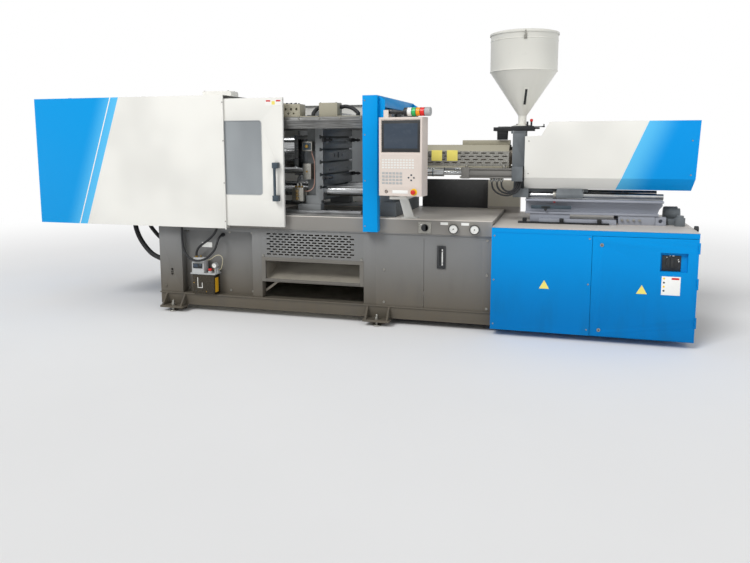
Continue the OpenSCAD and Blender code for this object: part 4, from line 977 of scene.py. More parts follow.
class RowRecipe(Recipe):
    """One small form repeated in rows and columns, such as keys, slats and fins."""

    def __init__(self) -> None:
        """Builds the tree."""
        sizes = {"Columns": 2, "Column step": (0.1, 0.0, 0.0), "Rows": 1, "Row step": (0.0, 0.0, 0.1)}
        super().__init__("row_recipe", sizes)
        across = {"Count": self.given("Columns"), "Offset": self.given("Column step")}
        line = self.node("GeometryNodeMeshLine", {}, across)
        items = {"Points": line, "Instance": self.given("Geometry")}
        row = self.node("GeometryNodeInstanceOnPoints", {}, items)
        upward = {"Count": self.given("Rows"), "Offset": self.given("Row step")}
        stack = self.node("GeometryNodeMeshLine", {}, upward)
        self.close(self.node("GeometryNodeInstanceOnPoints", {}, {"Points": stack, "Instance": row}))

    def repeat(
        self, name: str, item: Solid, body: str, material: str, bevel: float = 0.0, **sizes: object
    ) -> bpy.types.Object:
        """Repeats a form that stands at its first place.

        Args:
            name: The piece's name.
            item: The form, not yet made.
            body: The CAD body that carries the pieces.
            material: Their finish.
            bevel: The size of the form's rounded edges in millimetres.
            **sizes: The tree's named sizes, in metres.

        Returns:
            All the forms as one piece.
        """
        mesh = item.gathered(name)
        if bevel:
            mesh = bevelled(mesh, bevel, 1)
        return self.run(name, mesh, body, material, **sizes)


def head(radius: float, height: float) -> dict[str, float]:
    """Gives a screw head's size in millimetres as the named sizes of the screw tree."""
    return {"Head_radius": radius * MM, "Head_height": height * MM}


SCREWS = ScrewRecipe()
ROWS = RowRecipe()
DRESS = Dresser()
SHEET_SCREW = head(6.0, 3.0)
BOX_SCREW = head(7.0, 4.0)
PANEL_SCREW = head(11.0, 6.0)


@dataclass
class BaseUnit:
    """The welded base with its panels, chute, feet and the table on top."""

    half: float = 650.0
    left: float = -1838.0
    step: float = 1506.0
    band_z: float = 850.0
    foot: float = 60.0

    def build(self) -> None:
        """Dresses the base."""
        for node in ("base_frame", "base_panels", "foot_brackets"):
            DRESS.form(node, "base_grey_paint", 2.5 if node != "base_panels" else 0.0)
        DRESS.form("drop_chute", "chute_grey_paint", 2.5)
        DRESS.finish("vent_panel", "base_grey_paint")
        DRESS.form("machine_table", "table_grey_paint", 3.0)
        self.screws()
        self.feet()
        self.trims()

    def screws(self) -> None:
        """Adds the screws of the loose panels."""
        y = -self.half - 1.0
        spots = [(517.0, y, z) for z in (214.0, 518.0)]
        recess = 85.0 - self.half
        spots += [(x, recess, z) for x in (-1560.0, -1090.0, -850.0) for z in (214.0, 800.0)]
        spots += [(1460.0, y, z) for z in (207.0, 511.0, 820.0)]
        spots += [(x, y, 598.0) for x in (-690.0, -190.0, 300.0)]
        SCREWS.place("base_front_screws", spots, Facing.FRONT, "frame", **PANEL_SCREW)
        back = [(x, self.half + 1.0, z) for x in range(-1500, 2901, 400) for z in (214.0, 800.0)]
        SCREWS.place("base_rear_screws", back, Facing.BACK, "frame", **PANEL_SCREW)
        ends = [(self.left - 1.0, y, z) for y in (-500.0, 0.0, 500.0) for z in (230.0, 790.0)]
        SCREWS.place("base_end_screws", ends, Facing.LEFT, "frame", **PANEL_SCREW)

    def feet(self) -> None:
        """Adds levelling screws with nuts and washers on the foot brackets."""
        work = Solid()
        aside = self.half + 65.0
        spots = [(x, side * aside) for x in (self.left + 174.0, 465.0) for side in (-1, 1)]
        spots.append((2985.0, aside))
        for x, y in spots:
            work.tube(Axis.Z, (x, y, self.foot), 5.0, 24.0, 12.5)
            work.prism(around((x, y), 21.0, 6), Axis.Z, self.foot + 5.0, self.foot + 24.0)
            work.rod(Axis.Z, (x, y, 2.0), self.foot + 46.0, 12.0, 16)
            work.rod(Axis.Z, (x, y, 0.5), 12.0, 42.0)
        work.make("levelling_screws", "frame", ["zinc_steel"], 1.2)

    def trims(self) -> None:
        """Adds the drip edge, the chute's rolled lip, the earthing boss and the lifting eyes."""
        y, low = -self.half, self.band_z + 2
        work = Solid()
        work.box((self.left - 6, y - 10.5, low), (self.step - 6, y - 5, low + 7))
        work.box((-672.0, y - 9.0, 352.0), (284.0, y - 2.5, 371.0))
        work.rod(Axis.Y, (self.left + 60.0, y + 1.0, 240.0), -9.0, 14.0)
        work.make("base_trims", "frame", ["base_grey_paint"], 1.2)
        self.floor_sheets()
        eyes = Solid()
        for z in (366.0, 412.0):
            eyes.tube(Axis.Y, (self.left + 136.0, y - 2.0, z), 6.0, 19.0, 13.5)
        eyes.make("lifting_eye_rims", "frame", ["base_grey_paint"], 0.8)

    def floor_sheets(self) -> None:
        """Adds a sheet on the base's floor and a strip behind the lower opening, which close off the
        bright floor seen through the openings; their pale paint is painted light that lifts the shade
        there.
        """
        work = Solid().box((-700.0, self.half - 30.0, 150.0), (340.0, self.half - 27.0, 372.0))
        work.box((-1780.0, -560.0, 64.0), (330.0, 600.0, 67.0))
        work.make("base_floor_sheets", "frame", ["floor_sheet_lit_paint"], 0.8)


@dataclass
class ClampHood:
    """The big sheet hood over the clamp cylinder, its roof box and its service doors."""

    left: float = -3180.0
    right: float = -1028.0
    half: float = 740.0
    low: float = 860.0
    top: float = 2130.0

    def build(self) -> None:
        """Dresses the hood."""
        DRESS.form("clamp_hood", "clamp_hood_paint", 5.0)
        self.seams()
        self.louvres()
        edge = [(self.right - 6.0, -self.half - 13.0, z) for z in (930.0, 1300.0, 1700.0, 2060.0)]
        SCREWS.place("hood_edge_screws", edge, Facing.FRONT, "frame", **SHEET_SCREW)
        roof = [(x, y, 2194.0) for x in (-1410.0, -1150.0) for y in (-395.0, -265.0)]
        SCREWS.place("roof_box_screws", roof, Facing.UP, "frame", **BOX_SCREW)

    def seams(self) -> None:
        """Adds the folded seams, the end door with its latches and the rear door."""
        work = Solid()
        for x in (-2750.0, -1900.0):
            work.box((x - 16, -self.half + 4, self.top - 1), (x + 16, self.half - 4, self.top + 2.5))
        sill, lintel = self.low + 80, self.top - 100
        work.box((self.left - 1.4, -560, sill), (self.left + 1, 560, lintel))
        work.box((-2700, self.half - 1, sill), (-1500, self.half + 2.4, lintel))
        work.make("hood_seams", "frame", ["clamp_hood_paint"], 1.6)
        latch = Solid()
        for z in (1180.0, 1790.0):
            latch.tube(Axis.X, (self.left - 4.5, 500.0, z), 4.0, 17.0, 9.0)
            latch.rod(Axis.X, (self.left - 4.0, 500.0, z), 4.0, 9.0)
            latch.tube(Axis.Y, (-1560.0, self.half + 1.5, z), 5.0, 17.0, 9.0)
            latch.rod(Axis.Y, (-1560.0, self.half + 1.5, z), 4.5, 9.0)
        latch.make("hood_latches", "frame", ["zinc_steel"], 0.6)

    def louvres(self) -> None:
        """Adds rows of pressed louvres to the end door and the rear door."""
        x, y = self.left - 1.3, self.half + 2.3
        ROWS.repeat(
            "hood_end_louvres", louvre((x, -380.0, 1500), (x, -40.0, 1500), (-5, 0)),
            "frame", "clamp_hood_paint",
            Columns=2, Column_step=(0.0, 0.42, 0.0), Rows=10, Row_step=(0.0, 0.0, 0.036),
        )
        ROWS.repeat(
            "hood_rear_louvres", louvre((-2560, y, 1500), (-2200, y, 1500), (0, 9)),
            "frame", "clamp_hood_paint",
            Columns=2, Column_step=(0.46, 0.0, 0.0), Rows=10, Row_step=(0.0, 0.0, 0.036),
        )


@dataclass
class Gates:
    """The two sliding safety gates with their panes, their handle and the rims of the panes."""

    left: float = -1830.0
    right: float = -430.0
    top: float = 2095.0
    sill: float = 1191.0
    lintel: float = 1887.0
    skin_y: float = -732.0
    corner: float = 28.0

    def build(self) -> None:
        """Dresses both gates."""
        DRESS.form("front_gate", "cream_paint", 2.5)
        DRESS.form("rear_gate", "cream_paint", 2.5)
        DRESS.form("front_gate_handle", "slate_plastic", 4.0)
        DRESS.finish("front_gate_window", "gate_window_pane")
        DRESS.finish("rear_gate_window", "gate_window_pane")
        self.window_rim()
        self.strip()
        self.rear_rim()

    def rear_rim(self) -> None:
        """Adds the four bars that frame the rear pane."""
        near, far, bar = -852, 172, 12
        low, high = self.sill, self.lintel
        rim = Solid()
        for a, b in (
            ((near, low - bar), (far, low)),
            ((near, high), (far, high + bar)),
            ((near, low), (near + bar, high)),
            ((far - bar, low), (far, high)),
        ):
            rim.box((a[0], 731.5, a[1]), (b[0], 735.5, b[1]))
        rim.make("rear_window_rim", "gate_rear", ["black_plastic"], 1.0)

    def window_rim(self) -> None:
        """Adds the rubber edging of the front window, round its four rounded corners."""
        r = self.corner
        near, far = self.left + 180.0 + r, self.right - 216.0 - r
        low, high = self.sill + r, self.lintel - r
        inner, outer = [], []
        for turn, (x, z) in enumerate(((far, high), (near, high), (near, low), (far, low))):
            for k in range(9):
                a = math.radians(90 * turn + k * 11.25)
                inner.append((x + (r - 3) * math.cos(a), z + (r - 3) * math.sin(a)))
                outer.append((x + (r + 3) * math.cos(a), z + (r + 3) * math.sin(a)))
        n = len(inner)
        points = [(x, y, z) for y in (self.skin_y - 2.0, self.skin_y + 5.0) for x, z in inner + outer]
        faces = []
        for i in range(n):
            j = (i + 1) % n
            faces += [(i, j, n + j, n + i), (2 * n + i, 3 * n + i, 3 * n + j, 2 * n + j)]
            faces += [(i, 2 * n + i, 2 * n + j, j), (n + i, n + j, 3 * n + j, 3 * n + i)]
        Solid().shell(points, faces).make("front_window_rim", "gate_front", ["grey_key_plastic"])

    def strip(self) -> None:
        """Adds the plain strip of coloured fields at the gate's top right, bare of print."""
        x, y, z = self.right, self.skin_y, self.top
        work = Solid()
        work.paint(0).box((x - 168, y - 1.0, z - 73), (x - 12, y + 0.2, z - 17))
        for side in (-162, -62):
            work.paint(2).box((x + side, y - 1.5, z - 37), (x + side + 44, y - 0.9, z - 23))
        work.paint(1).box((x - 106, y - 1.5, z - 65), (x - 74, y - 0.9, z - 33))
        work.make("gate_fields", "gate_front", ["pale_field", "pale_yellow_field", "red_plastic"])


@dataclass
class PlatenCover:
    """The blue sheet arch over the fixed platen."""

    left: float = 347.0
    half: float = 760.0

    def build(self) -> None:
        """Dresses the arch and screws it down at the front and at the rear."""
        DRESS.form("platen_cover", "cover_blue_paint", 5.0)
        for name, facing, y in (
            ("cover_front_screws", Facing.FRONT, -self.half - 0.5),
            ("cover_rear_screws", Facing.BACK, self.half + 0.5),
        ):
            spots = [(self.left + 22.0, y, z) for z in (930.0, 1340.0, 1750.0, 2050.0)]
            SCREWS.place(name, spots, facing, "frame", **SHEET_SCREW)


@dataclass
class ClampUnit:
    """The open clamp: platens on four bars, ram, ejector, rails and slideways."""

    centre: float = 1555.0
    moving_face: float = -134.0
    moving_back: float = -314.0
    fixed_face: float = 320.0
    tie: float = 340.0

    def build(self) -> None:
        """Dresses the clamp."""
        DRESS.form("fixed_platen", "fixed_platen_cast", 3.0)
        DRESS.form("moving_platen", "moving_platen_cast", 3.0)
        DRESS.form("cylinder_platen", "cylinder_platen_cast", 3.0)
        DRESS.form("tie_bar_nuts", "black_steel", 2.0)
        DRESS.form("clamp_ram", "polished_steel", 1.0)
        DRESS.form("ejector_plate", "ground_steel", 1.0)
        DRESS.form("manifold_block", "zinc_steel", 2.0)
        DRESS.form("tie_bars", "polished_steel", 2.0)
        DRESS.form("gate_rails", "rail_aluminium", 1.5)
        DRESS.form("slideways", "ground_steel", 1.0)
        DRESS.form("top_junction_box", "guard_beige_paint", 3.0)
        DRESS.form("purge_guard", "dark_sheet", 0.8)
        self.clamps()
        self.fittings()
        self.bolts()

    def clamps(self) -> None:
        """Adds black mould clamps with their bolts on both platens."""
        moving, fixed = Solid(), Solid()
        for side in (-1, 1):
            for level in (1350.0, 1706.0):
                x, y = self.moving_face, side * 462.0
                moving.box((x + 0.5, y - 26, level - 20), (x + 24, y + 26, level + 20))
                moving.rod(Axis.X, (x + 24, y, level), 70.0, 12.0, 16)
                moving.tube(Axis.X, (x + 24, y, level), 8.0, 20.0, 12.5, 6)
                moving.tube(Axis.X, (x + 62, y, level), 10.0, 20.0, 12.5, 6)
            for z in (-120.0, 120.0):
                x, y, level = self.fixed_face, side * 430.0, self.centre + z
                fixed.box((x - 26, y - 34, level - 22), (x - 0.5, y + 34, level + 22))
                fixed.rod(Axis.X, (x - 26, y, level), -34.0, 13.0, 16)
        moving.make("moving_mould_clamps", "clamp_carriage", ["black_steel"], 1.5)
        fixed.make("fixed_mould_clamps", "frame", ["black_steel"], 1.5)

    def fittings(self) -> None:
        """Adds hose stubs, caps and sensor blocks round the moving platen."""
        work = Solid()
        x = self.moving_back
        for dx in (-100.0, -70.0, -40.0):
            work.prism(around((x + dx, -470), 13.0, 6), Axis.Z, 1249.0, 1266.0)
        for z in (1150.0, 1185.0, 1220.0):
            work.tube(Axis.Y, (x - 60.0, -548.0, z), 8.0, 14.0, 8.0, 20)
        work.rod(Axis.Y, (x + 20.0, -399.5, 1405.0), -92.0, 9.0, 16)
        work.rod(Axis.Y, (x + 20.0, -469.5, 1645.0), -20.0, 16.0, 20)
        work.make("clamp_fittings", "clamp_carriage", ["brass"], 0.8)
        plates = Solid()
        plates.box((x - 24, -476, 1342), (x + 52, -479.9, 1468))
        plates.box((x - 20, -466, 1612), (x + 60, -473, 1678))
        plates.make("clamp_cover_plates", "clamp_carriage", ["slate_plastic"], 1.5)

    def bolts(self) -> None:
        """Adds the bolts of the bar nuts, the rails, the boxes on top and the slideways."""
        ring = []
        for y in (-self.tie, self.tie):
            for z in (-self.tie, self.tie):
                ring += [(606.5, *spot) for spot in around((y, self.centre + z), 60.0, 8, 0.2)]
        rail = [(x, -655.5, 1903.0) for x in range(-1300, 301, 200)]
        lid = [(x, y, 2045.5) for x in (-100.0, 52.0) for y in (-608.0, -492.0)]
        block = [(x, y, 2038.5) for x in (-430.0, -385.0, -340.0) for y in (-620.0, -545.0)]
        way = [(x, s * 470.0, 1036.5) for x in range(-1350, 201, 250) for s in (-1, 1)]
        for name, spots, facing, steel, size in (
            ("bar_nut_screws", ring, Facing.RIGHT, "black_steel", head(7.0, 7.0)),
            ("rail_screws", rail, Facing.FRONT, "zinc_steel", head(8.0, 6.0)),
            ("junction_screws", lid, Facing.UP, "zinc_steel", head(6.0, 4.0)),
            ("block_screws", block, Facing.UP, "black_steel", head(10.0, 10.0)),
            ("slideway_screws", way, Facing.UP, "black_steel", head(9.0, 3.0)),
        ):
            SCREWS.place(name, spots, facing, "frame", steel, **size)


class Soft(Enum):
    LIMP = "limp"
    MEDIUM = "medium"


@dataclass
class Line:
    """One hose or cable along its points, with capped ends."""

    name: str
    points: tuple[Triple, ...]
    radius: float
    body: str = "frame"
    material: str = "hose_rubber"
    stiffness: Soft = Soft.MEDIUM
    lay: str = "hanging"
    node: str = ""
    free: bool = True

    def route(self, steps: int = 8) -> list[Vector]:
        """Gives the smooth path through the points, in metres, the same curve as the solid's."""
        p = [Vector(q) for q in self.points]
        out = []
        for i in range(len(p) - 1):
            a, b = p[max(i - 1, 0)], p[i]
            c, d = p[i + 1], p[min(i + 2, len(p) - 1)]
            for k in range(steps):
                t = k / steps
                spot = (b * 2 + (c - a) * t + (a * 2 - b * 5 + c * 4 - d) * t * t)
                spot += (b * 3 - a - c * 3 + d) * t * t * t
                out.append(metres(spot * 0.5))
        out.append(metres(p[-1]))
        return out

    def build(self) -> bpy.types.Object:
        """Returns:
            The hose.
        """
        route = self.route()
        curve = bpy.data.curves.new(self.name, "CURVE")
        curve.dimensions = "3D"
        curve.bevel_depth = self.radius * MM
        curve.bevel_resolution = 5
        curve.use_fill_caps = True
        spline = curve.splines.new("POLY")
        spline.points.add(len(route) - 1)
        for point, spot in zip(spline.points, route):
            point.co = (*spot, 1.0)
        spline.use_smooth = True
        thing = bpy.data.objects.new(self.name, curve)
        bpy.context.scene.collection.objects.link(thing)
        settle(thing, self.body, [self.material], [self.node] if self.node else [])
        if self.free:
            2 * self.radius * MM
        return thing


@dataclass
class Lines:
    """All hoses and conduits that hang between parts of the machine."""

    def build(self) -> None:
        """Makes the lines of each sub-assembly in turn."""
        self.lubricator()
        self.carriage()
        self.platen()
        self.conduits()

    def lubricator(self) -> None:
        """Makes the lubricator's two loops and its thin tube."""
        loop_a = ((-1548, -656.4, 905), (-1548, -663, 905), (-1548, -670, 904),
            (-1550, -684, 880), (-1552, -690, 806), (-1550, -692, 730), (-1540, -694, 650),
            (-1500, -704, 575), (-1430, -714, 533), (-1348, -716, 527), (-1271, -712, 557),
            (-1195, -704, 630), (-1172, -693, 688), (-1163, -664, 746), (-1161, -600, 772),
            (-1161, -582, 772), (-1161, -564.4, 772))
        loop_b = ((-1162, -656.4, 905), (-1162, -663, 905), (-1162, -670, 904),
            (-1164, -683, 880), (-1174, -682, 838), (-1212, -670, 786), (-1276, -654, 731),
            (-1353, -640, 681), (-1405, -632, 640), (-1428, -630, 600), (-1432, -630, 575),
            (-1432, -630, 560), (-1432, -630, 545.4))
        tube = ((-1199.6, -610, 425), (-1190, -610, 425), (-1176, -612, 434), (-1160, -615, 470),
            (-1150, -618, 515), (-1156, -620, 556), (-1186, -622, 574), (-1226, -622, 564),
            (-1268, -621, 536), (-1300, -620, 520), (-1310, -620, 518), (-1319.6, -620, 518))
        Line("lubricator_loop_a", loop_a, 11.0, node="small_hoses").build()
        Line("lubricator_loop_b", loop_b, 11.0, node="small_hoses").build()
        Line(
            "lubricator_thin_tube", tube, 3.0, material="thin_tube_nylon", stiffness=Soft.LIMP
        ).build()

    def carriage(self) -> None:
        """Makes the three hoses that hang in half rings under the feed block."""
        angles = [math.pi * i / 8 for i in range(9)]
        for k, (x, end, deep) in enumerate(((1454, 1712, 104), (1500, 1692, 84), (1540, 1674, 68))):
            wide, middle = (end - x) / 2, (end + x) / 2
            bow = [
                (middle - wide * math.cos(a), -328 - 12 * math.sin(a), 1304 - deep * math.sin(a))
                for a in angles
            ]
            run = ((x, -326, 1329.6), (x, -326, 1320), *bow, (end, -326, 1320), (end, -326, 1329.6))
            Line(f"carriage_hose_{k + 1}", run, 8.0, "injection_carriage").build()

    def platen(self) -> None:
        """Makes the cable and the hose on the side of the moving platen."""
        drop = ((-256, -440, 1599.6), (-256, -440, 1588), (-255, -440, 1576), (-243, -440, 1540),
            (-233, -440, 1508), (-231, -440, 1470), (-231, -440, 1400), (-231, -440, 1340),
            (-231, -444, 1300), (-235, -450, 1266), (-251, -457, 1237), (-278, -460, 1219),
            (-300, -460, 1215), (-310, -460, 1215), (-318.6, -460, 1215))
        link = ((-394, -470, 1290.4), (-394, -470, 1300), (-394, -469, 1316), (-389, -463, 1348),
            (-375, -453, 1377), (-356, -446, 1395), (-344, -444, 1399), (-334.4, -444, 1400))
        Line("platen_cable", drop, 5.0, "clamp_carriage", "cable_brown_sheath").build()
        Line("platen_hose", link, 5.5, "clamp_carriage").build()

    def conduits(self) -> None:
        """Makes the clamp's two conduits and the two arches of the junction box."""
        cable_a = ((-2270, 0, 1369.6), (-2270, 0, 1350), (-2270, 0, 1330), (-2270, -60, 1240),
            (-2271, -200, 1070), (-2268, -380, 930), (-2262, -430, 830), (-2200, -445, 680),
            (-2080, -450, 540), (-1960, -450, 480), (-1890, -450, 462), (-1870, -450, 462),
            (-1855, -450, 462), (-1838.4, -450, 462))
        cable_b = ((-2120, 0, 1369.6), (-2120, 0, 1350), (-2120, 0, 1330), (-2118, -60, 1240),
            (-2112, -190, 1080), (-2105, -370, 950), (-2090, -425, 840), (-2010, -440, 745),
            (-1930, -445, 680), (-1880, -445, 660), (-1865, -445, 658), (-1852, -445, 658),
            (-1838.4, -445, 658))
        cable_c = ((65.4, -530, 2010), (74, -530, 2010), (84, -530, 2010), (130, -540, 2012),
            (190, -565, 1996), (240, -590, 1966), (260, -600, 1948), (260, -600, 1940),
            (260, -600, 1933), (260, -600, 1925.4))
        cable_d = ((-113.4, -530, 2010), (-120, -530, 2010), (-127, -530, 2010),
            (-158, -555, 1990), (-176, -590, 1955), (-176, -600, 1943), (-176, -600, 1934),
            (-176, -600, 1925.4))
        Line("clamp_conduit_a", cable_a, 25.0, node="conduits").build()
        Line("clamp_conduit_b", cable_b, 20.0, node="conduits").build()
        Line("junction_conduit_c", cable_c, 18.0, node="conduits", lay="loose").build()
        Line("junction_conduit_d", cable_d, 18.0, node="conduits", free=False).build()


@dataclass
class Lubricator:
    """The lubricator in its bay: head, display, tank, dial, cap and fittings."""

    front: float = -696.0
    dial_x: float = -1222.0
    dial_z: float = 473.0
    port: Triple = (-1161.0, -584.5, 772.0)

    def build(self) -> None:
        """Dresses the lubricator."""
        DRESS.form("lubricator_pump", "grey_key_plastic", 3.0)
        DRESS.form("lubricator_tank", "amber_tank_plastic", 4.0)
        DRESS.form("lubricator_cap", "red_plastic", 2.0)
        self.display()
        self.dial()
        self.fittings()
        self.tank()
        self.bay()

    def display(self) -> None:
        """Adds the pump's display with its window, its key and three lamps."""
        y = self.front
        face = Solid()
        face.paint(0).box((-1438, y - 1, 444), (-1334, y + 2.5, 494))
        face.paint(1).box((-1430, y - 2, 456), (-1384, y - 0.5, 488))
        face.paint(2).box((-1366, y - 2, 470), (-1344, y - 0.5, 488))
        for x in (-1424.0, -1404.0, -1384.0):
            face.paint(1).rod(Axis.Y, (x, y, 449.5), -3.0, 3.5, 12)
        slots = ["black_plastic", "screen_glass", "slate_plastic"]
        face.make("lubricator_display", "frame", slots, 0.6)

    def dial(self) -> None:
        """Adds the pressure dial's rim, face and needle."""
        x, z = self.dial_x, self.dial_z
        dial = Solid()
        dial.paint(0).tube(Axis.Y, (x, -663.0, z), 4.0, 27.0, 22.0)
        dial.paint(1).rod(Axis.Y, (x, -659.5, z), -2.0, 22.5)
        dial.paint(2).box((x - 2, -663.0, z - 2), (x, -661.5, z + 17))
        dial.make("lubricator_dial", "frame", ["zinc_steel", "white_plastic", "black_plastic"])

    def fittings(self) -> None:
        """Adds two brass plugs, and the collars that a loop and the thin tube sit in."""
        brass = Solid()
        brass.rod(Axis.Z, (-1390.0, -618.0, 543.0), 20.0, 8.0, 12)
        brass.rod(Axis.Y, (-1240.0, -629.0, 429.0), -16.0, 7.0, 12)
        brass.tube(Axis.Z, (-1432.0, -630.0, 544.5), 15.0, 16.0, 11.4, 24)
        brass.tube(Axis.X, (-1200.5, -610.0, 425.0), 8.0, 6.0, 3.2, 16)
        brass.make("lubricator_fittings", "frame", ["brass"], 0.6)

    def tank(self) -> None:
        """Adds the tube and two studs on the tank's front, and the plain field on its side."""
        near, far = -691.0, -690.1
        inner = Solid()
        inner.paint(0).box((-1396, near, 250), (-1390, far, 352))
        inner.paint(0).box((-1396, near, 246), (-1342, far, 252))
        inner.paint(0).box((-1348, near, 252), (-1342, far, 300))
        for x, z in ((-1436.0, 296.0), (-1300.0, 212.0)):
            inner.paint(1).rod(Axis.Y, (x, far, z), -0.9, 6.0, 12)
        inner.make("tank_level_tube", "frame", ["white_plastic", "brass"])
        field = Solid().box((-1209.5, -674, 206), (-1207.5, -612, 350))
        field.make("tank_fields", "frame", ["amber_field"])

    def bay(self) -> None:
        """Adds the plain plate on the bay's back and the fitting where a loop goes through it."""
        plate = Solid().box((-1404.0, -566.0, 640.0), (-1290.0, -564.0, 690.0))
        plate.make("bay_field", "frame", ["pale_field"])
        x, y, z = self.port
        ring = Solid().tube(Axis.Y, (x, y, z), 20.0, 20.0, 11.4, 24)
        ring.tube(Axis.Y, (x, y - 10.0, z), 10.0, 16.0, 11.4, 6)
        ring.make("bulkhead_fitting", "frame", ["black_plastic"], 1.0)


@dataclass
class InjectionUnit:
    """Barrel, heaters, guard, carriage, cylinders and rails of the injection side."""

    cylinder_y: float = 326.0
    cylinder_z: float = 1400.0

    def build(self) -> None:
        """Dresses the injection unit."""
        DRESS.form("barrel", "band_steel", 1.0)
        DRESS.form("heater_bands", "band_steel", 1.5)
        DRESS.form("barrel_guard", "guard_beige_paint", 2.0)
        DRESS.finish("guard_grille", "zinc_steel")
        DRESS.form("carriage_cylinder", "cylinder_grey_paint", 2.0)
        DRESS.form("guide_rods", "polished_steel", 1.0)
        DRESS.form("injection_beams", "beam_grey_paint", 3.0)
        DRESS.form("feed_block", "feed_cast", 3.0)
        DRESS.form("drive_plate", "feed_cast", 3.0)
        DRESS.form("screw", "polished_steel", 0.0)
        DRESS.form("pump_motor", "motor_grey_paint", 2.0)
        DRESS.form("oil_cooler", "cooler_blue_paint", 2.0)
        self.guard_trim()
        self.cylinder_trim()
        self.manifold()
        self.beam_trim()
        self.heater_trim()
        self.table_parts()
        self.rear_parts()

    def guard_trim(self) -> None:
        """Adds the plain yellow fields and the screws of the barrel guard."""
        fields = Solid()
        for x in (860.0, 1008.0):
            fields.box((x, -162.5, 1505), (x + 102, -160.1, 1606))
        fields.make("guard_fields", "injection_carriage", ["pale_yellow_field"], 0.4)
        spots = [(x, -161.0, 1449.0) for x in (652.0, 1110.0, 1578.0)]
        SCREWS.place("guard_screws", spots, Facing.FRONT, "injection_carriage", **BOX_SCREW)

    def cylinder_trim(self) -> None:
        """Adds rod nuts, ports and dark sleeves to the carriage cylinders."""
        z, reach = self.cylinder_z, 38.0
        sides = (-self.cylinder_y, self.cylinder_y)
        nuts, marks = Solid(), Solid()
        for y in sides:
            for dy in (-reach, reach):
                for dz in (-reach, reach):
                    nuts.rod(Axis.X, (1177.5, y + dy, z + dz), -14.0, 11.0, 6)
            for x in (1222.0, 1560.0):
                nuts.rod(Axis.Z, (x, y, z + reach), 34.0, 13.0, 6)
        nuts.make("carriage_nuts", "injection_carriage", ["zinc_steel"], 0.8)
        for x in (640.0, 905.0):
            for y in sides:
                marks.tube(Axis.X, (x, y, z), 9.0, 36.5, 34.1)
        marks.make("sleeve_marks", "frame", ["slate_plastic"])

    def manifold(self) -> None:
        """Adds the block that the three carriage hoses hang from, with its ports."""
        block = Solid()
        block.paint(0).box((1436, -350, 1330), (1556, -302, 1363))
        for x in (1454.0, 1500.0, 1540.0):
            block.paint(1).tube(Axis.Y, (x, -358.0, 1346.0), 8.5, 14.0, 7.0, 24)
            block.paint(1).tube(Axis.Z, (x, -326.0, 1320.0), 10.5, 14.0, 9.3, 6)
            block.paint(2).rod(Axis.Y, (x, -352.0, 1346.0), -3.0, 7.4, 16)
        slots = ["feed_cast", "zinc_steel", "black_plastic"]
        block.make("hose_manifold", "injection_carriage", slots, 1.2)

    def beam_trim(self) -> None:
        """Adds the clamp round the front guide rod and the position scale on the beam."""
        clamp = Solid()
        clamp.paint(0).tube(Axis.X, (1998.0, -235.0, 1202.0), 25.5, 42.0, 25.3, 40)
        clamp.paint(0).box((2001, -262, 1140), (2020, -244, 1172))
        clamp.paint(1).rod(Axis.Y, (2010.0, -262.0, 1147.0), -15.0, 12.0, 20)
        clamp.make("rod_clamp", "injection_carriage", ["zinc_steel", "red_plastic"], 1.2)
        scale = Solid()
        scale.paint(0).box((1810, -322, 1084), (2158, -315.5, 1116))
        for x in (1810, 2142):
            scale.paint(0).box((x, -326, 1090), (x + 16, -322, 1110))
        scale.paint(1).rod(Axis.Y, (1938.0, -322.0, 1079.0), -22.0, 13.0, 20)
        scale.paint(2).box((1900, -328, 1094), (1976, -322, 1108))
        scale.make("beam_scale", "frame", ["slate_plastic", "black_plastic", "black_steel"], 1.0)

    def heater_trim(self) -> None:
        """Adds the terminal boxes of the heater bands."""
        boxes = Solid()
        for x in (730.0, 890.0, 1050.0, 1210.0, 1370.0):
            boxes.box((x + 30, 96.5, 1536), (x + 90, 128, 1574))
            boxes.rod(Axis.Z, (x + 60, 112.0, 1573.0), 22.0, 8.0, 12)
        boxes.make("heater_terminals", "injection_carriage", ["white_plastic"], 1.5)

    def table_parts(self) -> None:
        """Adds the black plate with its stops in front of the beam, and the bolts at its end."""
        stops = Solid()
        stops.box((1700, -400, 958.5), (2480, -330, 972))
        for x in (1740.0, 2060.0, 2380.0):
            stops.box((x, -396, 972), (x + 36, -334, 1004))
        stops.make("beam_foot_plate", "frame", ["black_steel"], 2.0)
        bits = Solid()
        for x in (2578.0, 2626.0, 2674.0, 2722.0):
            bits.rod(Axis.Z, (x, -268.0, 1038.5), 3.0, 9.0, 12)
            bits.rod(Axis.Y, (x + 10, -316.5, 1000.0), -12.0, 12.0, 6)
        bits.make("beam_bolts", "frame", ["zinc_steel"], 0.6)

    def rear_parts(self) -> None:
        """Adds the motor's fins and the cooler's pipe flanges."""
        fin = Solid().tube(Axis.X, (2966.0, -60.0, 1036.0), 4.0, 73.0, 67.0, 40)
        ROWS.repeat(
            "motor_fins", fin, "frame", "motor_grey_paint",
            Columns=9, Column_step=(0.012, 0.0, 0.0), Rows=1,
        )
        flange = Solid()
        for x in (1580.0, 2720.0):
            flange.tube(Axis.Z, (x, 815.0, 676.0), 14.0, 46.0, 25.0)
        flange.make("cooler_flanges", "frame", ["zinc_steel"], 1.0)


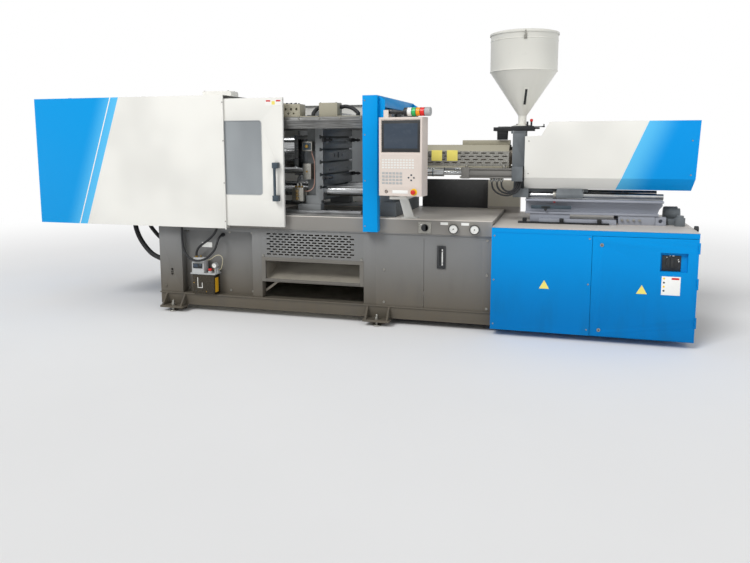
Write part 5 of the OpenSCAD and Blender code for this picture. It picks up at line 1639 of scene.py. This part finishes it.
@dataclass
class Hopper:
    """The granulate hopper with its lid, sight slot, sliding base and shut-off plate."""

    x: float = 1692.0
    radius: float = 306.0
    top: float = 2662.0
    cone: float = 2326.0
    neck_z: float = 1925.0
    neck_r: float = 38.0

    def build(self) -> None:
        """Dresses the hopper."""
        DRESS.form("hopper", "hopper_cream_paint", 1.0)
        DRESS.form("hopper_lid", "hopper_cream_paint", 1.5)
        DRESS.form("hopper_base", "black_steel", 2.0)
        DRESS.form("hopper_carriage", "black_steel", 2.0)
        DRESS.form("hopper_shutter", "ground_steel", 1.0)
        self.sight_slot()
        self.bands()
        self.small_parts()

    def sight_slot(self) -> None:
        """Adds the black strip of the sight slot and its raised rim, on the cone's slope."""
        slope = (self.radius - self.neck_r) / (self.cone - self.neck_z)
        lean = math.atan(slope)
        turn = math.radians(12.0)
        middle = 2092.0
        reach = self.neck_r + (middle - self.neck_z) * slope
        home = Matrix.Translation((self.x, 0, 0)) @ Matrix.Rotation(turn, 4, "Z")
        home = home @ Matrix.Translation((0, -reach, middle)) @ Matrix.Rotation(lean, 4, "X")
        work = Solid(home)
        work.paint(0)
        for side in (-1, 1):
            work.box((side * 16 - 5, -5.0, -86), (side * 16 + 5, 1.5, 86))
            work.box((-21, -5.0, side * 86 - 5), (21, 1.5, side * 86 + 5))
        work.paint(1).box((-11.5, -2.0, -81.5), (11.5, 0.5, 81.5))
        work.make("sight_slot_rim", "hopper_unit", ["hopper_cream_paint", "black_plastic"], 1.2)

    def bands(self) -> None:
        """Adds the pressed beads of the drum and the welded ring round the neck."""
        work = Solid()
        near, far = self.radius - 1, self.radius + 3
        for z in (self.cone + 2.0, self.top - 60.0):
            bead = [(near, z - 6), (far, z - 3), (far, z + 3), (near, z + 6)]
            work.turned(bead, Axis.Z, (self.x, 0, 0), 96)
        near, far = self.neck_r - 1, self.neck_r + 7
        ring = [(near, 1836), (far, 1836), (far, 1850), (near, 1850)]
        work.turned(ring, Axis.Z, (self.x, 0, 0), 48)
        work.make("hopper_beads", "hopper_unit", ["hopper_cream_paint"])

    def small_parts(self) -> None:
        """Adds the foot bolts, the lid's latches, the shutter's pull and the carriage's knob."""
        feet = [(*spot, 1841.0) for spot in around((self.x, 0.0), 63.0, 4, math.pi / 4)]
        SCREWS.place("hopper_foot_screws", feet, Facing.UP, "hopper_unit", **head(9.0, 9.0))
        latch = Solid()
        for k in range(3):
            turn = Matrix.Rotation(math.radians(35 + 120 * k), 4, "Z")
            latch.place = Matrix.Translation((self.x, 0, 0)) @ turn
            latch.box((self.radius + 1, -14, self.top - 74), (self.radius + 8, 14, self.top - 30))
            latch.box((self.radius + 8, -6, self.top - 66), (self.radius + 15, 6, self.top + 2))
        latch.make("lid_latches", "hopper_unit", ["zinc_steel"], 1.2)
        pull = Solid().rod(Axis.X, (1869.0, 0.0, 1824.0), 13.0, 4.9, 16)
        pull.rod(Axis.X, (1881.0, 0.0, 1824.0), 18.0, 6.5, 24)
        pull.box((1886.0, -9.0, 1826.0), (1896.0, 9.0, 1848.0))
        pull.make("shutter_knob", "shutter", ["black_plastic"])
        grip = [(0, 0), (9, 0), (14, 6), (14, 22), (0, 28)]
        knob = Solid().turned(grip, Axis.Z, (1780.0, -78.0, 1868.0), 20)
        knob.make("carriage_knob", "hopper_unit", ["red_plastic"])


@dataclass
class InjectionHood:
    """The blue and cream hood behind the hopper."""

    left: float = 1740.0
    right: float = 3180.0
    half: float = 330.0

    def build(self) -> None:
        """Dresses the hood, screws it down and adds its rear louvres."""
        DRESS.form("injection_hood", "injection_hood_paint", 5.0)
        ends = (self.left + 35.0, self.right - 60.0)
        spots = [(x, -self.half - 0.5, z) for x in ends for z in (1400.0, 1690.0)]
        SCREWS.place("hood_front_screws", spots, Facing.FRONT, "injection_carriage", **SHEET_SCREW)
        y = self.half - 0.3
        ROWS.repeat(
            "injection_hood_louvres", louvre((2150, y, 1480), (2450, y, 1480), (0, 9)),
            "injection_carriage", "injection_hood_paint",
            Columns=2, Column_step=(0.36, 0.0, 0.0), Rows=8, Row_step=(0.0, 0.0, 0.034),
        )


@dataclass
class Cabinet:
    """The electric cabinet with its door, locks, main switch and plain fields."""

    front: float = -764.0

    def build(self) -> None:
        """Dresses the cabinet."""
        DRESS.form("electric_cabinet", "cabinet_blue_paint", 3.0)
        DRESS.form("cabinet_door", "cabinet_blue_paint", 2.0)
        DRESS.form("lock_upper", "zinc_steel", 1.0)
        DRESS.form("lock_lower", "zinc_steel", 1.0)
        DRESS.form("main_switch_knob", "black_plastic", 3.0)
        end = Solid().rod(Axis.X, (3146.5, -480.0, 958.0), 32.5, 27.0, 32)
        end.rod(Axis.X, (3146.5, -400.0, 930.0), 24.0, 20.0, 32)
        end.make("cabinet_end_caps", "frame", ["black_plastic"], 1.0)
        self.switch_plate()
        self.fields()
        self.screws()

    def switch_plate(self) -> None:
        """Adds the plate behind the main switch, with its ring of marks."""
        y = self.front
        plate = Solid()
        plate.paint(0).box((2878, y + 33.0, 638), (3020, y + 39.5, 766))
        for angle, size in ((8.0, 5.0), (24.0, 4.0), (78.0, 8.0), (104.0, 4.0), (132.0, 4.0)):
            a = math.radians(angle)
            x, z = 2950.0 + 55 * math.cos(a), 711.0 + 55 * math.sin(a)
            plate.paint(1).box((x - size, y + 32.6, z - 3.5), (x + size, y + 33.2, z + 3.5))
        plate.make("switch_plate", "cabinet_door_body", ["black_plastic", "pale_field"], 0.3)

    def fields(self) -> None:
        """Adds the white plate with its bare fields and the two bare yellow triangles."""
        y = self.front
        plate = Solid().box((2878, y - 1.6, 445), (3020, y - 0.1, 599))
        plate.paint(1).box((2952, y - 2.2, 574), (3010, y - 1.5, 590))
        for k, z in enumerate((582.0, 548.0, 514.0, 480.0)):
            plate.paint(2 + k % 2).rod(Axis.Y, (2896.0, y - 1.5, z), -0.7, 8.0, 20)
        fields = ["pale_field", "red_plastic", "yellow_plastic", "slate_plastic"]
        plate.make("cabinet_plate", "cabinet_door_body", fields, 0.3)
        signs = (("panel_corner", 1955.0, "frame"), ("door_corner", 2730.0, "cabinet_door_body"))
        for name, x, body in signs:
            corners = [(x - 42, 444), (x + 42, 444), (x, 518)]
            sign = Solid().prism(corners, Axis.Y, y - 1.5, y - 0.1)
            sign.make(name, body, ["pale_yellow_field"])

    def screws(self) -> None:
        """Adds the screws of the fixed panel and the slots of the two locks."""
        spots = [(x, self.front - 0.5, z) for x in (1530.0, 2310.0) for z in (110.0, 500.0, 885.0)]
        SCREWS.place("cabinet_screws", spots, Facing.FRONT, "frame", **head(7.0, 3.0))
        for name, z, body in (
            ("lock_slots", 116.0, "lock_lower_body"),
            ("lock_slots_upper", 837.0, "lock_upper_body"),
        ):
            slot = [(2408.0, self.front - 5.5, z)]
            SCREWS.place(name, slot, Facing.FRONT, body, "black_steel", **head(5.0, 1.0))


@dataclass
class ControlPanel:
    """The swivelling operator panel: screen, keys, stop button, lamp stack and arm."""

    x: float = 760.0
    y: float = -925.0
    turn: float = -7.5
    wide: float = 388.0
    low: float = 1228.0
    high: float = 664.0
    deep: float = 150.0

    def home(self) -> Matrix:
        """Gives the turn and the place of the panel's own millimetres."""
        turned = Matrix.Rotation(math.radians(self.turn), 4, "Z")
        return Matrix.Translation((self.x, self.y, 0)) @ turned

    def build(self) -> None:
        """Dresses the panel."""
        DRESS.form("control_panel", "panel_greige_paint", 4.0)
        DRESS.form("panel_arm", "arm_cream_paint", 4.0)
        DRESS.form("estop_button", "red_plastic", 3.0)
        self.screen()
        self.keys()
        self.stop()
        self.lamp()
        self.back()

    def screen(self) -> None:
        """Adds the screen with its bezel in the upper recess."""
        y = -self.deep / 2
        left, right, top = -self.wide / 2, self.wide / 2, self.low + self.high
        work = Solid(self.home())
        work.paint(0).box((left + 24, y + 1.5, top - 292), (right - 20, y + 5.9, top - 26))
        work.paint(1).box((left + 44, y + 0.6, top - 262), (right - 40, y + 2.0, top - 52))
        work.make("panel_screen", "panel", ["black_plastic", "screen_glass"], 0.8)

    def keys(self) -> None:
        """Adds the upper and the lower block of small keys and the arrow cross."""
        y = -self.deep / 2 + 1.4
        home = self.home()
        low = self.low + 84
        step = home.to_3x3() @ Vector((0.027, 0.0, 0.0))
        small = Solid(home).box((-166, y - 2.4, low + 150), (-146, y + 0.05, low + 163))
        ROWS.repeat(
            "panel_keys_upper", small, "panel", "white_plastic", 0.8,
            Columns=11, Column_step=tuple(step), Rows=4, Row_step=(0.0, 0.0, 0.022),
        )
        left = Solid(home).box((-166, y - 2.4, low + 16), (-142, y + 0.05, low + 34))
        step = home.to_3x3() @ Vector((0.032, 0.0, 0.0))
        ROWS.repeat(
            "panel_keys_lower", left, "panel", "grey_key_plastic", 0.8,
            Columns=6, Column_step=tuple(step), Rows=4, Row_step=(0.0, 0.0, 0.028),
        )
        cross = Solid(home)
        for dx, dz in ((-24, 0), (24, 0), (0, 22), (0, -22)):
            x, z = 100 + dx, low + 74 + dz
            cross.box((x - 7, y - 2.6, z - 6), (x + 7, y + 0.05, z + 6))
        cross.make("panel_cross_keys", "panel", ["slate_plastic"], 0.8)

    def stop(self) -> None:
        """Adds the stop button's collar and domed cap, the round port and the bare strip."""
        y = -self.deep / 2
        z = self.low + 36
        work = Solid(self.home())
        work.paint(0).tube(Axis.Y, (124.0, y - 4.0, z), 3.9, 30.0, 12.6, 40)
        work.paint(1).tube(Axis.Y, (-126.0, y - 2.0, z), 2.0, 14.0, 9.5, 32)
        work.paint(2).box((-70, y - 1.2, z - 14), (70, y - 0.05, z + 14))
        work.make("panel_lower_parts", "panel", ["yellow_plastic", "black_plastic", "pale_field"], 0.6)
        cap = Solid(self.home())
        cap.turned([(0, -33), (12, -32), (19, -29), (20.4, -25), (20.4, -20), (17, -16), (0, -16)],
                   Axis.Y, (124.0, y, z), 40)
        cap.make("stop_cap", "estop", ["red_plastic"])

    def lamp(self) -> None:
        """Adds the lamp stack lying on the panel: base, lenses, cap and pole."""
        z = self.low + self.high + 46
        home = self.home()
        segments = (
            ("black_plastic", 6.0, 34.0, 37.0), ("lamp_white", 40.0, 38.0, 36.0),
            ("lamp_green", 78.0, 38.0, 36.0), ("lamp_orange", 116.0, 38.0, 36.0),
            ("lamp_red", 154.0, 38.0, 36.0), ("grey_key_plastic", 192.0, 48.0, 37.0),
        )
        work = Solid(home)
        for index, (_, start, length, radius) in enumerate(segments):
            work.paint(index)
            profile = [(0, 0), (radius - 3, 0), (radius, 3)]
            profile += [(radius, length - 3), (radius - 3, length), (0, length)]
            work.turned(profile, Axis.X, (start, 10.0, z), 48)
        work.paint(0).rod(Axis.X, (-131.0, 10.0, z), 138.0, 13.8, 24)
        work.paint(0).box((-166.0, -15.0, z - 16.0), (-130.0, 35.0, z + 16.0))
        for index, start in enumerate((38.0, 76.5, 114.5, 152.5, 190.5)):
            work.paint(0 if index else 5).tube(Axis.X, (start, 10.0, z), 3.0, 36.9, 35.0, 48)
        work.make("lamp_stack", "lamp", [s[0] for s in segments], 0.0, ["signal_lamp"])

    def back(self) -> None:
        """Adds the rear cover's screws and the two cable glands below it, on the panel's back."""
        home = self.home()
        spots = [(x, self.deep / 2 + 30.5, z) for x in (-130.0, 130.0) for z in (1380.0, 1800.0)]
        SCREWS.place(
            "panel_back_screws", spots, Facing.BACK, "panel", "black_steel", home, **SHEET_SCREW
        )
        gland = Solid(home)
        for x in (-90.0, -50.0):
            gland.rod(Axis.Y, (x, self.deep / 2 - 0.5, self.low + 40.0), 22.0, 13.0, 6)
        gland.make("panel_glands", "panel", ["black_plastic"], 0.8)


@dataclass
class Gauges:
    """The pressure gauges, the mode switch plate and the oil level gauge."""

    y: float = -656.0
    z: float = 918.0

    def build(self) -> None:
        """Dresses the gauges."""
        DRESS.form("pressure_gauges", "zinc_steel", 1.5)
        DRESS.form("level_gauge", "black_plastic", 1.5)
        DRESS.form("mode_switch_knob", "black_plastic", 2.0)
        for name, x, angle in (("left", 1161.0, 215.0), ("right", 1347.0, 250.0)):
            self.face(name, x, angle)
        plates = Solid()
        for x in (1161.0, 1347.0):
            plates.box((x - 120, self.y - 4.0, 950), (x - 52, self.y - 3.1, 974))
        plates.make("gauge_plates", "frame", ["pale_field"])
        tube = Solid()
        tube.paint(0).box((1051, -657.4, 582), (1066.5, -656.1, 732))
        for z in (602.0, 706.0):
            tube.paint(1).box((1054, -658.0, z), (1064, -657.3, z + 6))
        tube.make("level_marks", "frame", ["white_plastic", "black_plastic"])
        plate = Solid()
        plate.paint(0).box((856, -664.7, 884), (944, -664.05, 956))
        plate.paint(1).box((860, -665.2, 944), (874, -664.6, 952))
        plate.make("mode_plate", "frame", ["zinc_steel", "white_plastic"])

    def face(self, name: str, x: float, angle: float) -> None:
        """Adds one gauge's white face, its needle, its ring of scale marks and its rim."""
        y = self.y - 28.2
        work = Solid()
        work.paint(0).rod(Axis.Y, (x, y + 0.2, self.z), -1.2, 36.6, 48)
        across, up = math.cos(math.radians(angle)), math.sin(math.radians(angle))
        tip = (x + 27 * across, self.z + 27 * up)
        side = (1.4 * up, -1.4 * across)
        needle = [(x - side[0], self.z - side[1]), tip, (x + side[0], self.z + side[1])]
        work.paint(1).prism(needle, Axis.Y, y - 2.6, y - 1.6)
        work.paint(1).rod(Axis.Y, (x, y - 1.0, self.z), -4.4, 4.0, 16)
        work.make(f"gauge_face_{name}", "frame", ["white_plastic", "black_plastic"])
        marks = []
        for k in range(28):
            a = math.radians(-45 + 10 * k)
            marks.append((x + 32 * math.cos(a), y - 1.1, self.z + 32 * math.sin(a)))
        SCREWS.place(
            f"gauge_scale_{name}", marks, Facing.FRONT, "frame", "black_plastic",
            **head(1.1, 0.2), Sides=6,
        )
        rim = Solid().tube(Axis.Y, (x, self.y - 36.0, self.z), 4.0, 43.6, 37.4, 48)
        rim.make(f"gauge_rim_{name}", "frame", ["black_plastic"], 0.8)


@dataclass
class Studio:
    """The pale floor, the soft lights and the camera at the photograph's place."""

    frame_px: tuple[int, int] = (750, 563)
    focal_px: float = 682.5
    centre_px: Pair = (369.0, 231.8)
    sensor: float = 36.0
    eye: Triple = (2.094, -6.579, 1.688)
    down: float = 7.52
    roll: float = 0.15
    swing: float = 15.97

    def build(self) -> None:
        """Sets up the surroundings."""
        self.floor()
        self.lights()
        self.camera()
        bpy.context.scene.view_settings.view_transform = "Standard"

    def floor(self) -> None:
        """Lays a pale floor that fades into a white background."""
        mesh = bpy.data.meshes.new("floor")
        r, z = 90.0, -0.001
        corners = [(-r, -r, z), (r, -r, z), (r, r, z), (-r, r, z)]
        mesh.from_pydata(corners, [], [(0, 1, 2, 3)])
        floor = stand("studio_floor", mesh)
        look = Look("studio_floor_white", Roughness=0.9)
        far = look.node("ShaderNodeVectorMath", {"operation": "LENGTH"}, {0: look.spot}, out="Value")
        tint = look.mix(look.noise(0.7, 2.0), linear((236, 236, 236)), linear((241, 241, 241)))
        look.feed("Base Color", tint)
        shine = look.node("ShaderNodeEmission", {}, {"Color": (1, 1, 1, 1), "Strength": 1.0})
        share = far.ramp(4.5, 11.0)
        inputs = {0: share, 1: Val(look, look.surface.outputs[0]), 2: shine}
        both = look.node("ShaderNodeMixShader", {}, inputs)
        out = look.tree.nodes["Material Output"]
        look.tree.links.new(both.socket, out.inputs["Surface"])
        mesh.materials.append(look.material)

    def lights(self) -> None:
        """Adds a wide soft key light, and a white room seen by the camera and by metal."""
        for name, energy, tilt, swing, angle in (
            ("key", 1.72, 48.0, -28.0, 24.0),
            ("fill", 0.45, 62.0, 50.0, 60.0),
        ):
            lamp = bpy.data.lights.new(name, "SUN")
            lamp.energy = energy
            lamp.angle = math.radians(angle)
            thing = bpy.data.objects.new(name, lamp)
            thing.rotation_euler = (math.radians(tilt), 0.0, math.radians(swing))
            bpy.context.scene.collection.objects.link(thing)
        world = bpy.data.worlds.new("studio")
        world.use_nodes = True
        bpy.context.scene.world = world
        room = Graph(world.node_tree)
        path = room.node("ShaderNodeLightPath", out="Is Camera Ray")
        glossy = Val(room, path.socket.node.outputs["Is Glossy Ray"])
        through = Val(room, path.socket.node.outputs["Is Transmission Ray"])
        seen = path + glossy * 0.6 + through
        level = seen * 0.54 + 0.46
        back = world.node_tree.nodes["Background"]
        back.inputs["Color"].default_value = (1.0, 1.0, 1.0, 1.0)
        world.node_tree.links.new(level.socket, back.inputs["Strength"])

    def camera(self) -> None:
        """Places the camera as it was fitted to the photograph."""
        lens = bpy.data.cameras.new("camera")
        wide, high = self.frame_px
        lens.sensor_width = self.sensor
        lens.lens = self.focal_px / wide * self.sensor
        lens.shift_x = (wide / 2 - self.centre_px[0]) / wide
        lens.shift_y = (self.centre_px[1] - high / 2) / wide
        lens.clip_end = 400.0
        eye = bpy.data.objects.new("camera", lens)
        eye.location = self.eye
        turns = (90.0 - self.down, self.roll, self.swing)
        eye.rotation_euler = [math.radians(turn) for turn in turns]
        bpy.context.scene.collection.objects.link(eye)
        bpy.context.scene.camera = eye


def main() -> None:
    """Builds every sub-assembly in turn."""
    logging.basicConfig(level=logging.INFO, format="%(name)s: %(message)s")
    Studio().build()
    Lines().build()
    for part in (
        BaseUnit(), ClampHood(), Gates(), PlatenCover(), ClampUnit(), Lubricator(),
        InjectionUnit(), Hopper(), InjectionHood(), Cabinet(), ControlPanel(), Gauges(),
    ):
        LOG.info("dressing the %s", type(part).__name__)
        part.build()


if __name__ == "__main__":
    main()
